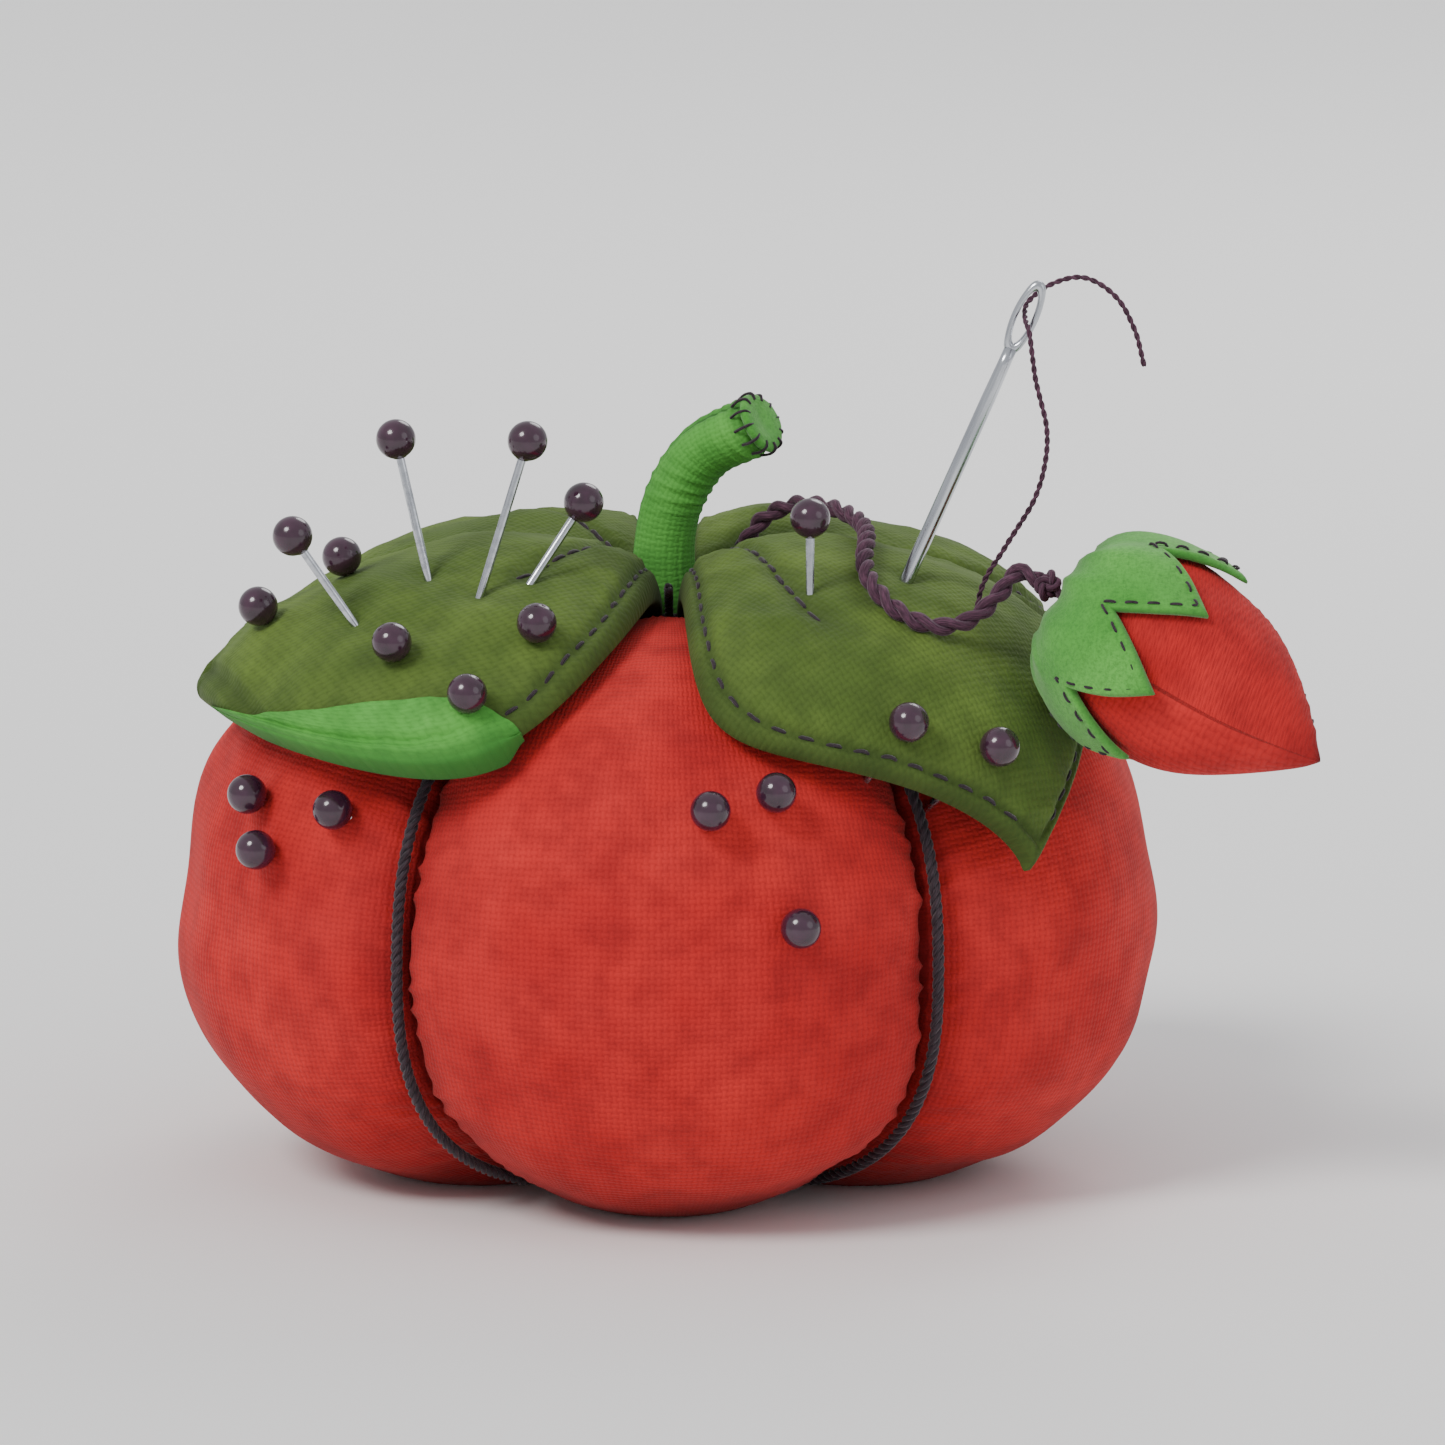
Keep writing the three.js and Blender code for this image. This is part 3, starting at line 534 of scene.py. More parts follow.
def felted(name, light, middle, shade, sheen=(1, 1, 1, 1)):
    """Wool felt: matted fibres and a fuzzy face, darker in the fibres' hollows, with painted shade."""
    light, middle, shade = linear(light), linear(middle), linear(shade)
    s = Shader(name, 0.95, Sheen_Weight=0.3, Sheen_Roughness=0.55, Sheen_Tint=sheen, Specular_IOR_Level=0.15)
    fibres = s.noise(0.22, 4, 0.75, (1, 0.35, 0.6))
    crossing = s.noise(0.2, 4, 0.75, (0.35, 1, 0.8))
    mat = s.math("MULTIPLY", s.math("ADD", fibres, crossing), 0.5)
    colour = s.blend(s.ramp(s.noise(7, 3, 0.55), 0.35, 0.65), middle, light)
    # Darker where the matted fibres dip: partly the fibres' own colour, partly painted shade in their
    # hollows.
    colour = s.blend(s.math("MULTIPLY", s.ramp(mat, 0.56, 0.4), 0.45), colour, shade)
    # Painted shade from each point's shade value.
    colour = s.blend(s.attribute("tone"), colour, shade)
    s.colour(colour)
    s.bump((s.noise(1.6, 2, 0.5), 0.4, 0.15), (mat, 0.7, 0.16))
    s.rough(s.ramp(mat, 0.3, 0.7, 1.0, 0.88))
    return s.material


def threaded(name, light, dark, sheen=(1, 1, 1, 1)):
    """Spun thread: fine fibres that wind along each strand, lighter where they stand up and darker between
    them.
    """
    s = Shader(name, 0.7, Sheen_Weight=0.25, Sheen_Roughness=0.4, Sheen_Tint=sheen, Specular_IOR_Level=0.3)
    fibres = s.noise(0.16, 3, 0.6, (0.22, 1.6, 1), "cloth")
    # Fibres lighter where raised and darker in the hollows: partly their own colour, partly painted shade.
    s.colour(s.blend(s.ramp(fibres, 0.36, 0.66), linear(dark), linear(light)))
    s.bump((fibres, 0.8, 0.09), (s.noise(0.5, 2), 0.2, 0.06))
    s.rough(s.ramp(fibres, 0.3, 0.7, 0.85, 0.6))
    return s.material


def steel(name):
    s = Shader(name, 0.2, Metallic=1.0)
    along = s.noise(0.9, 3, 0.6, (1, 1, 0.12), "cloth")
    s.colour(s.blend(s.ramp(along, 0.4, 0.7), linear((203, 206, 211)), linear((164, 167, 174))))
    s.rough(s.ramp(along, 0.3, 0.7, 0.14, 0.3))
    s.bump((along, 0.12, 0.02))
    return s.material


def glossy(name):
    """Moulded ball heads, glossy with faint handling marks."""
    s = Shader(name, 0.16, Coat_Weight=0.35, Coat_Roughness=0.08, Specular_IOR_Level=0.5)
    clouds = s.ramp(s.noise(1.4, 2, 0.5), 0.3, 0.7)
    s.colour(s.blend(clouds, linear((46, 24, 38)), linear((66, 36, 56))))
    s.rough(s.ramp(s.noise(0.5, 3, 0.6), 0.3, 0.7, 0.12, 0.24))
    s.bump((s.noise(0.9, 2), 0.1, 0.05))
    return s.material


RED_SHEEN, LEAF_SHEEN = (1, 0.72, 0.66, 1), (0.85, 1, 0.6, 1)
GREEN_SHEEN, PLUM_SHEEN = (0.8, 1, 0.7, 1), (1, 0.8, 0.95, 1)
# Each cloth's colours run light, middle, shade; the shade colour serves for uneven dye and for the painted
# shade in creases, hollows and dents.
SLOTS = {
    "red_cotton": woven("red_cotton", (204, 45, 42), (183, 34, 34), (104, 18, 22), RED_SHEEN, 0.55, 0.08),
    "leaf_cotton": woven("leaf_cotton", (97, 120, 50), (76, 98, 38), (46, 62, 25), LEAF_SHEEN, 0.55, 0.07),
    "bright_green_cotton": woven("bright_green_cotton", (98, 176, 74), (76, 152, 58), (44, 98, 38),
                                 GREEN_SHEEN, 0.5, 0.06),
    "bright_green_felt": felted("bright_green_felt", (98, 178, 74), (76, 154, 58), (42, 100, 38),
                                GREEN_SHEEN),
    "dark_red_felt": felted("dark_red_felt", (150, 44, 42), (132, 36, 36), (84, 22, 24)),
    "charcoal_thread": threaded("charcoal_thread", (66, 52, 60), (30, 22, 28)),
    "plum_cord": threaded("plum_thread", (98, 58, 80), (46, 24, 38), PLUM_SHEEN),
    "bright_steel": steel("steel"),
    "plum_head": glossy("plum_head"),
}

# ---- cords: the strawberry's cord and the needle's thread ----
CORD_RADIUS, THREAD_RADIUS = 0.8, 0.25
CORD_END = tuple(KNOT + (-0.7, 0.3, 0.4))


def add_cord(name, solid, replaced):
    made = piece(name, solid, None, "plum_cord", [replaced])
    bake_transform(made)


cord_path = evenly(catmull(CORD_ROUTE + [CORD_END]), 0.5)
cord_solid = Solid().twisted(cord_path, CORD_RADIUS, plies=2, pitch=4.2, step=0.3, sides=10)
add_cord("strawberry_cord", cord_solid, "emery_cord")
eye_middle = needle_foot + needle_axis * (NEEDLE_PROUD - EYE_BELOW_TOP)
thread_points = THREAD_ROUTE + [tuple(eye_middle + np.array(p)) for p in THROUGH_EYE + THREAD_TAIL]
thread_path = evenly(catmull(thread_points), 0.4)
thread_solid = Solid().twisted(thread_path, THREAD_RADIUS, plies=2, pitch=1.5, step=0.16, sides=7)
add_cord("needle_thread_run", thread_solid, "needle_thread")

# ---- tomato ----
LOBE_COLUMNS, LOBE_ROWS = 112, 200
PANEL_GAP = 0.2
# Spacing along the seam, reach into the lobe, and height off the cloth.
PUCKERS = (5.6, 4.2, 0.8)
FINE_PUCKERS = (3.1, 2.2, 0.2)
GATHERS = (4.4, 10, 0.7)
RESTING_LIFT = -0.3
TABLE_CLEARANCE = 0.02
# Reach of the crease shade, and the strength of the painted shade in creases, pin dents, low down under the
# bulge and between puckers.
CREASE_REACH, CREASE_SHADE, DENT_SHADE, UNDER_SHADE, PUCKER_SHADE = 2.4, 0.75, 0.25, 0.5, 0.3


def ridges(s, spacing, seed):
    """Uneven ridges along s, from 0 to about 0.8, narrower at the crests than in the dips."""
    rng = np.random.default_rng(seed)
    wander = 0
    for _ in range(3):
        wander = wander + rng.uniform(0.2, 0.5) * np.sin(TAU * s / rng.uniform(9, 22) + rng.uniform(0, TAU))
    wave = np.sin(TAU * s / spacing + 1.1 * wander)
    strength = 0.62 + 0.38 * np.sin(TAU * s / rng.uniform(7, 12) + rng.uniform(0, TAU))
    return np.maximum(0, 1 - np.sqrt(wave**2 + 0.04)) ** 1.4 * 1.25 * strength


def cover_panel(lobe):
    """One gore of the cover, puckered along both seams and gathered at both ends."""
    u = np.linspace(0, 1, LOBE_COLUMNS + 1)
    last = distance_of(latitude_of_radius(OPEN_AT_BASE, -1))
    down = mix(OPEN_AT_CROWN, last, np.linspace(0, 1, LOBE_ROWS + 1))
    azimuth = FRONT + 360 / LOBES * (lobe + 0.5 * np.sin(math.pi * (u - 0.5)))
    azimuth, distance = np.meshgrid(azimuth, down)
    latitude = latitude_at(distance)
    seam = (u == 0) * PANEL_GAP - (u == 1) * PANEL_GAP
    outer = skin(azimuth, latitude) + around(azimuth + 90, seam, 0)
    inner = skin(azimuth, latitude, COVER_THICKNESS) + around(azimuth + 90, seam, 0)
    normal = unit(np.cross(np.gradient(outer, axis=0), np.gradient(outer, axis=1)))
    normal *= np.sign((normal * (outer - (0, 0, WIDEST_HEIGHT))).sum(-1, keepdims=True))

    steps = np.linalg.norm(np.diff(outer, axis=1), axis=-1)
    left = np.concatenate([np.zeros((len(down), 1)), np.cumsum(steps, 1)], 1)
    right = left[:, -1:] - left
    nearest = np.minimum(left, right)
    spacing, reach, pucker_height = PUCKERS
    puckers = 0
    for side, edge in ((0, left), (1, right)):
        slanted = ridges(distance + 0.35 * edge, spacing, 10 * lobe + side)
        puckers = puckers + slanted * np.exp(-edge / reach) * ease(edge, 0.1, 1.6)
    spacing, reach, fine_height = FINE_PUCKERS
    fine = ridges(distance - 0.2 * left, spacing, 77 + lobe) * np.exp(-nearest / reach)
    spacing, reach, gather_height = GATHERS
    ends = np.exp(-distance / reach) + np.exp(-(last - distance) / reach)
    gathers = ridges(np.radians(azimuth - FRONT) * BODY_RADIUS, spacing, 31 + lobe) * ends
    stuffing = wobble(outer, 26, 3) * 0.3 + wobble(outer, 11, 4) * 0.14
    lift = puckers * pucker_height + fine * fine_height + gathers * gather_height + RESTING_LIFT
    lift = (lift + stuffing * ease(nearest, 0, 3)) * mix(0.12, 1, ease(outer[..., 2], 0.0, 2.0))
    dent = pricked(outer)
    outer = outer + normal * held(outer, lift)[..., None]
    outer[..., 2] = np.maximum(outer[..., 2], TABLE_CLEARANCE)

    middle_row = left[LOBE_ROWS // 2]
    cloth = stacked(middle_row[None] + 60 * lobe, distance, 0.0)
    # Painted shade: darker in the creases by the seams, low down near the floor, in the dips between puckers
    # and round the pins.
    crease = np.exp(-nearest / CREASE_REACH) * CREASE_SHADE
    under = UNDER_SHADE * ease(-outer[..., 2], -9, 0)
    dips = PUCKER_SHADE * np.clip(0.35 - puckers, 0, 1) * np.exp(-nearest / 5)
    tone = crease + under + dips + DENT_SHADE * dent
    return Solid().shell(outer, inner, cloth, tone)


for lobe in range(LOBES):
    replaced = [f"cover_panel_{lobe + 1}"] + (["filling"] if lobe == 0 else [])
    panel = piece(f"tomato_panel_{lobe + 1}", cover_panel(lobe), "root", "red_cotton", replaced)

# ---- groove thread, drawn tight, with its bundle through the middle ----
GROOVE_THREAD_RADIUS, BUNDLE_RADIUS = 0.52, 1.4
GROOVE_THREAD_LIFT = 0.95
GROOVE_THREAD_TO_MIDDLE = 0.7
bundle_bottom, bundle_top = 1.2, skin(0, 90, 0, 1)[2] + 0.8


def groove_line(lobe):
    azimuth = FRONT + 360 / LOBES * (lobe + 0.5)
    run = np.linspace(2.4, distance_of(latitude_of_radius(4, -1)), 120)
    latitude = latitude_at(run)
    hull_radius = np.linalg.norm(skin(azimuth, latitude, 0, 1)[:, :2], axis=1)
    half_lobe = np.maximum(1, hull_radius * math.radians(180 / LOBES))
    share = np.sqrt(np.maximum(0, 1 - (1 - np.minimum(1, 1 / half_lobe)) ** 2))
    line = skin(azimuth, latitude, -GROOVE_THREAD_LIFT, share)
    line[:, 2] = np.maximum(BASE_DISC_THICKNESS + 0.8, line[:, 2])
    first, last = (around(azimuth, GROOVE_THREAD_TO_MIDDLE, z) for z in (bundle_top - 0.1, 1.85))
    return np.concatenate([[first], line, [last]])


groove_thread = Solid()
for lobe in range(LOBES):
    groove_thread.twisted(groove_line(lobe), GROOVE_THREAD_RADIUS, plies=3, pitch=2.6, step=0.3, sides=8)
bundle = [(0, 0, bundle_bottom), (0, 0, 20), (0, 0, bundle_top)]
groove_thread.twisted(bundle, BUNDLE_RADIUS, plies=3, pitch=9, step=0.8, sides=10)
piece("groove_thread", groove_thread, "root", "charcoal_thread", ["lobe_thread"])

# ---- base ----
BASE_PROFILE = [(0.05, 0.72), (6, 0.76), (11.4, 0.78), (12.1, 0.7), (12.4, 0.45), (12.35, 0.2), (12.1, 0.03),
                (6, 0.0), (0.05, 0.0)]


def felt_disc():
    """Round felt patch under the base, with a soft cut edge."""
    angle = full_turn(120)
    rings = []
    for r, z in BASE_PROFILE:
        uneven = r * (1 + 0.006 * np.sin(angle * 17) + 0.005 * np.sin(angle * 5 + 1))
        rings.append(around(np.degrees(angle), uneven, z))
    return Solid().sleeve(np.array(rings))


piece("base_patch", felt_disc(), "root", "dark_red_felt", ["base_disc"])

# ---- leaves ----
LEAF_COLUMNS, LEAF_ROWS = 96, 130
LEAST_HALF_WIDTH = 0.3
SEAM_INSET, SEAM_DEPTH = 1.7, 0.5
VEIN_DEPTH, VEIN_STITCH_END = 0.75, 0.56
TURN_UP_START, TURN_UP_WIDTH, TURN_UP_WRAP = 29.0, 5.8, 0.82


def leaf_half_width(leaf, along, across):
    """Half of a leaf's width at a distance along it, on the side that across is on."""
    (width, taper), (width_after, taper_after) = leaf["sides"]
    narrowing = np.maximum(0, along / leaf["length"] - LEAF_BROADEST) / (1 - LEAF_BROADEST)
    left = np.maximum(0, 1 - narrowing**2)
    full = np.where(np.asarray(across) < 0, width * left**taper, width_after * left**taper_after) + 1e-6
    wedge = np.maximum(along - LEAF_WEDGE_POINT, 0.01) * LEAF_WEDGE
    joined = (wedge**LEAF_SHOULDER + full**LEAF_SHOULDER) ** (1 / LEAF_SHOULDER)
    return np.maximum(LEAST_HALF_WIDTH, wedge * full / joined)


def leaf_point(leaf, along, across, height):
    """A point of a leaf: across is -1 to 1, and height is off the tomato's hull."""
    aside = across * leaf_half_width(leaf, along, across)
    distance = np.hypot(along, aside)
    turn = np.degrees(np.arctan2(aside, along))
    azimuth = leaf["azimuth"] + turn + leaf["bend"] * (along / leaf["length"]) ** 2
    latitude = latitude_at(distance)
    up = np.array((0.0, 0.0, 1.0))
    lean = unit(mix(outward(azimuth, latitude), up, (1 - ease(distance, 6, 18))[..., None]))
    return skin(azimuth, latitude, 0, 1) + lean * np.asarray(height)[..., None]


def leaf_under(leaf, along):
    return (0.5 + 1.5 * bell(along, 9)
            + leaf["tip_lift"] * ease(along, leaf["length"] * 0.6, leaf["length"]))


def leaf_puff(leaf, along, across):
    share = along / leaf["length"]
    lengthwise = np.sin(math.pi * np.minimum(1, mix(0.16, 1, share))) ** 0.6
    return leaf["puff"] * lengthwise * np.maximum(0, 1 - across**2) ** 0.6


def vein_at(leaf, along):
    """Where the vein runs across a leaf, from the crown out to its end."""
    return leaf["vein"] * np.sin(along / leaf["length"] * math.pi)


def vein_share(leaf, along):
    return 1 - ease(along, leaf["length"] * 0.5, leaf["length"] * 0.62)


def from_edge(leaf, along, across):
    inset = (1 - np.abs(across)) * leaf_half_width(leaf, along, across)
    return np.minimum(inset, (leaf["length"] - along) * 0.8)


def leaf_rim(leaf, along, across):
    """Half the thickness at the rim, rounded off at the edge and at the tip."""
    tip = np.clip((leaf["length"] - along) / 1.3, 0.03, 1)
    return LEAF_RIM / 2 * np.sqrt(np.clip(1 - np.abs(across) ** 24, 0, 1) * tip * (2 - tip))


def leaf_height(leaf, seed, along, across):
    """Height of the leaf's plain upper face above the tomato's hull, and its sewn relief."""
    inset = from_edge(leaf, along, across)
    seam = -SEAM_DEPTH * bell(inset - SEAM_INSET, 0.55)
    gathered = ridges(along + 0.3 * inset, 3.4, seed) * np.exp(-np.abs(inset - 2.4) / 2.2) * 0.36
    off_vein = (across - vein_at(leaf, along)) * leaf_half_width(leaf, along, across)
    vein = -VEIN_DEPTH * bell(off_vein, 0.9)
    folds = ridges(along + 0.8 * np.abs(off_vein), 6.5, seed + 5) * np.exp(-np.abs(off_vein) / 5) * 0.3
    rim = LEAF_RIM / 2 + leaf_rim(leaf, along, across)
    plain = leaf_under(leaf, along) + rim + leaf_puff(leaf, along, across)
    relief = seam + gathered + (vein + folds) * vein_share(leaf, along)
    return plain, relief * ease(inset, 0, 1.2)


def leaf_top(name, along, across, lift=0.0):
    """Points on a leaf's upper face, or above it, with the cloth pressed in round the pins."""
    leaf, seed = LEAVES[name], list(LEAVES).index(name) * 11 + 100
    along, across = np.broadcast_arrays(np.asarray(along, float), np.asarray(across, float))
    plain, relief = leaf_height(leaf, seed, along, across)
    flat = leaf_point(leaf, along, across, plain)
    inset = (1 - np.abs(across)) * leaf_half_width(leaf, along, across)
    lumps = (wobble(flat, 12, seed) * 0.22 + wobble(flat, 5, seed + 1) * 0.08) * ease(inset, 0, 4)
    return leaf_point(leaf, along, across, plain + held(flat, relief + lumps) + lift)


def leaf_solid(name):
    leaf = LEAVES[name]
    along = mix(LEAF_START, leaf["length"], np.sin(math.pi / 2 * np.linspace(0, 1, LEAF_ROWS + 1)))
    across = np.sin(math.pi / 2 * np.sin(math.pi / 2 * np.linspace(-1, 1, LEAF_COLUMNS + 1)))
    across, along = np.meshgrid(across, along)
    over = leaf_top(name, along, across)
    rim = LEAF_RIM / 2 - leaf_rim(leaf, along, across)
    under = leaf_point(leaf, along, across, leaf_under(leaf, along) + rim)
    half = leaf_half_width(leaf, along, across)
    cloth = stacked(across * half + 50, along, 0.0)
    # Painted shade: darker at the rim, along the sewn seam and the vein, near the crown where the leaf
    # starts, and round the pins.
    inset = from_edge(leaf, along, across)
    off_vein = np.abs(across - vein_at(leaf, along)) * half
    edge = 0.55 * bell(inset, 1.4) + 0.5 * bell(inset - SEAM_INSET, 0.6)
    vein = 0.5 * bell(off_vein, 1.2) * vein_share(leaf, along)
    foot = 0.7 * np.exp(-((along - LEAF_START) / 4.5))
    tone = edge + vein + foot + DENT_SHADE * pricked(over)
    return Solid().shell(over, under, cloth, tone)


def outward_at(points):
    """Roughly outward at points of the tomato's upper half."""
    return unit((points - (0, 0, 8)) * (1, 1, 1.2))


STITCH_DIP = 0.36


def stitches(solid, line, length, space, radius):
    """Short stitches along a line of points, each dipping into the cloth at its ends."""
    start = 0.3
    share = np.linspace(-1, 1, 9)
    while start + length < arc(line)[-1]:
        path = points_at(line, np.linspace(start, start + length, 9))
        path = path - (STITCH_DIP * share**4)[:, None] * outward_at(path)
        solid.rope(path, radius * np.sqrt(np.clip(1.08 - share**4, 0.1, 1)), 7)
        start += length + space


def seam_line(name, side):
    along = np.linspace(7.5, LEAVES[name]["length"] - 2.4, 240)
    across = side * (1 - SEAM_INSET / leaf_half_width(LEAVES[name], along, side))
    return leaf_top(name, along, across, 0.06)


def vein_line(name):
    leaf = LEAVES[name]
    along = np.linspace(7, leaf["length"] * VEIN_STITCH_END, 160)
    return leaf_top(name, along, vein_at(leaf, along), 0.12)


for name in LEAVES:
    body = name if "back" in name else "root"
    made = piece(f"{name}_cloth", leaf_solid(name), body, "leaf_cotton", [name])
    sewing = Solid()
    for side in (-1, 1):
        stitches(sewing, seam_line(name, side), length=1.5, space=0.85, radius=0.17)
    stitches(sewing, vein_line(name), length=2.0, space=0.25, radius=0.21)
    piece(f"{name}_stitches", sewing, body, "charcoal_thread")


def turned_edge():
    """The front left leaf's lower edge, turned up to show its bright lining."""
    name, leaf = "leaf_front_left", LEAVES["leaf_front_left"]
    share, s = np.meshgrid(np.linspace(0, 1, 121), np.linspace(0, 1, 49), indexing="ij")
    along = mix(TURN_UP_START, leaf["length"] - 0.3, share)
    half = leaf_half_width(leaf, along, 1)
    width = np.minimum(TURN_UP_WIDTH * np.sin(math.pi * share**0.75) + 0.2, half * 0.9)
    inset = width * (1 - np.clip(s / TURN_UP_WRAP, 0, 1))
    wrap = np.clip((s - TURN_UP_WRAP) / (1 - TURN_UP_WRAP), 0, 1)
    ends = ease(share, 0, 0.14) * (1 - 0.6 * ease(share, 0.9, 1))
    surfaces = []
    for level in (0.1 + 0.6 * ends, 0.05 + 0.05 * ends):
        top = leaf_top(name, along, np.minimum(1 - inset / half, 0.9999), level)
        beyond = 1 + np.sin(math.pi / 2 * wrap) * (0.2 * ends + level) / half
        half_rim = LEAF_RIM / 2
        height = leaf_under(leaf, along) + half_rim + (half_rim + level) * np.cos(math.pi * wrap)
        roll = 0.35 * ends * bell(inset, 1.1) * (level > 0.15)
        rolled = top + outward_at(top) * roll[..., None]
        wrapped = leaf_point(leaf, along, beyond, height)
        surfaces.append(mix(rolled, wrapped, ease(wrap, 0, 0.12)[..., None]))
    cloth = stacked(along, inset, 0)
    # Painted shade along the fold and on the wrapped-under part of the turned edge.
    tone = 0.45 * bell(inset, 0.8) + 0.5 * wrap
    return Solid().shell(*surfaces, cloth, tone)


piece("leaf_front_left_turned_edge", turned_edge(), "root", "bright_green_cotton")

# ---- stem ----
stem_path = evenly(catmull(STEM_PATH), 0.2)


def stem_solid():
    """The stuffed stem: a seam up its back, gathers at its foot, creases in its bend."""
    s = arc(stem_path) / arc(stem_path)[-1]
    _, normal, binormal = frames(stem_path)
    angle = full_turn(72)
    a, share = np.meshgrid(angle, s)
    radius = STEM_RADIUS + STEM_FLARE * (1 - ease(share, 0, 0.35))
    length = share * arc(stem_path)[-1]
    seam = -0.28 * bell(np.minimum(a, TAU - a) * radius, 0.45)
    foot = 0.35 * (ridges(a * 3, 2.0, 9) - 0.4) * np.exp(-length / 3.5)
    bend = 0.2 * (ridges(length + 0.6 * np.cos(a), 2.4, 21) - 0.4) * ease(share, 0.35, 0.6)
    end = -0.35 * ease(share, 0.955, 1.0)
    radius = radius + seam + foot + bend + end
    points = stem_path[:, None] + radius[..., None] * spokes(a, normal[:, None], binormal[:, None])
    cloth = stacked(a * STEM_RADIUS, length, 0)
    # Painted shade at the stem's gathered foot, along its seam and near its cut end.
    seam_shade = 0.5 * bell(np.minimum(a, TAU - a) * radius, 0.6)
    tone = 0.8 * np.exp(-length / 3) + seam_shade + 0.35 * ease(share, 0.94, 1.0)
    return Solid().sleeve(points, cloth, tone)


stem = piece("stem_cloth", stem_solid(), "stem", "bright_green_cotton",
             ["stem_cover", "stem_core"])


def facing(direction):
    """Two directions square to one."""
    a = unit(np.cross(direction, (0, 0, 1.0) if abs(direction[2]) < 0.9 else (1.0, 0, 0)))
    return a, np.cross(direction, a)


def turned(profile, foot, direction, sides, bulge=None):
    """A solid of revolution from (radius, height) pairs about a direction."""
    a, b = facing(direction)
    angle = full_turn(sides)
    r = np.array([max(p[0], 1e-3) for p in profile])[:, None] * np.ones(sides)
    z = np.array([p[1] for p in profile])[:, None] * np.ones(sides)
    if bulge is not None:
        r, z = bulge(angle[None] + 0 * r, r, z)
    points = foot + r[..., None] * spokes(angle, a, b) + z[..., None] * direction
    cloth = stacked(angle[None] * max(r.max(), 0.1) + 0 * r, z, 0.0)
    return Solid().sleeve(points, cloth)


PATCH_PROFILE = [(0, 0.3), (1.7, 0.3), (2.4, 0.32), (2.58, 0.5), (2.6, 0.7), (2.5, 0.92), (2.2, 1.05),
                 (1.3, 1.0), (0.6, 0.86), (0, 0.8)]
# Each stitch over the patch's edge, as distances out from its middle and up from the stem's end.
PATCH_STITCH = [(1.95, 1.02), (2.5, 0.98), (2.72, 0.4), (2.5, -0.6)]
PATCH_STITCHES = 12
stem_end, stem_way = stem_path[-1], unit(stem_path[-1] - stem_path[-2])


def patch_bulge(angle, r, z):
    return r * (1 + 0.015 * np.sin(angle * 9)), z + 0.1 * np.cos(angle * 2) * (r / STEM_RADIUS)


stem_patch = turned(PATCH_PROFILE, stem_end, stem_way, 64, patch_bulge)
piece("stem_patch", stem_patch, "stem", "bright_green_felt", ["stem_end"])

patch_sewing = Solid()
for i in range(PATCH_STITCHES):
    out = spokes(np.array(TAU * i / PATCH_STITCHES), *facing(stem_way))
    stitch = [stem_end + out * outwards + stem_way * up for outwards, up in PATCH_STITCH]
    patch_sewing.rope(catmull(stitch), 0.13, 6)
piece("stem_patch_stitches", patch_sewing, "stem", "charcoal_thread")

# ---- crown stitches: thread gathers the leaves round the stem, with one stitch in each valley ----
RING_RADIUS = 4
RING_LOOPS = ((4.0, 0.0), (3.75, 0.42), (4.15, -0.38))
VALLEYS = (-90, 0, 90, 180)
gather = Solid()
ring_height = skin(0, latitude_of_radius(RING_RADIUS), 0, 1)[2] + 2.2
ring_turn = np.linspace(0, TAU, 181)
for k, (r, z) in enumerate(RING_LOOPS):
    wave = 0.12 * np.sin(ring_turn * 3 + k * 2)
    loop = around(np.degrees(ring_turn), r + wave, ring_height + z + wave)
    gather.twisted(loop, 0.3, plies=2, pitch=1.6, step=0.16, sides=7, closed=True)
for azimuth in VALLEYS:
    bar = [skin(azimuth, latitude_of_radius(r), -2.4, 1) for r in (6, 9, 12)]
    bar.insert(0, around(azimuth, RING_RADIUS, ring_height))
    gather.twisted(catmull(bar), 0.4, plies=2, pitch=1.9, step=0.2, sides=8)
piece("crown_stitches", gather, "root", "charcoal_thread", ["crown_stitch"])

# ---- strawberry emery ----
BERRY_SEAM_TURN = 4.1
CAP_EDGE_SHARE = (0.2, 0.46)  # how far down the strawberry the cap's valleys and points reach
berry_foot = KNOT + BERRY_DIRECTION * KNOT_TO_BERRY


def berry_radius(share):
    """Round below the cap, drawn out to a point at the end."""
    swell = np.maximum(0, np.sin(math.pi * np.clip(share, 0, 1) ** 0.64))
    return BERRY_RADIUS * swell ** mix(0.5, 0.82, ease(share, 0.5, 1))


def on_berry(angle, share, lift=0.0):
    """Points on the strawberry, or lifted off it; share is 0 under its cap and 1 at its tip."""
    radius = berry_radius(share) + lift
    height = BERRY_LENGTH * share - lift * (1 - np.clip(share * 3, 0, 1))
    spoke = spokes(angle, *facing(BERRY_DIRECTION))
    return berry_foot + radius[..., None] * spoke + height[..., None] * BERRY_DIRECTION


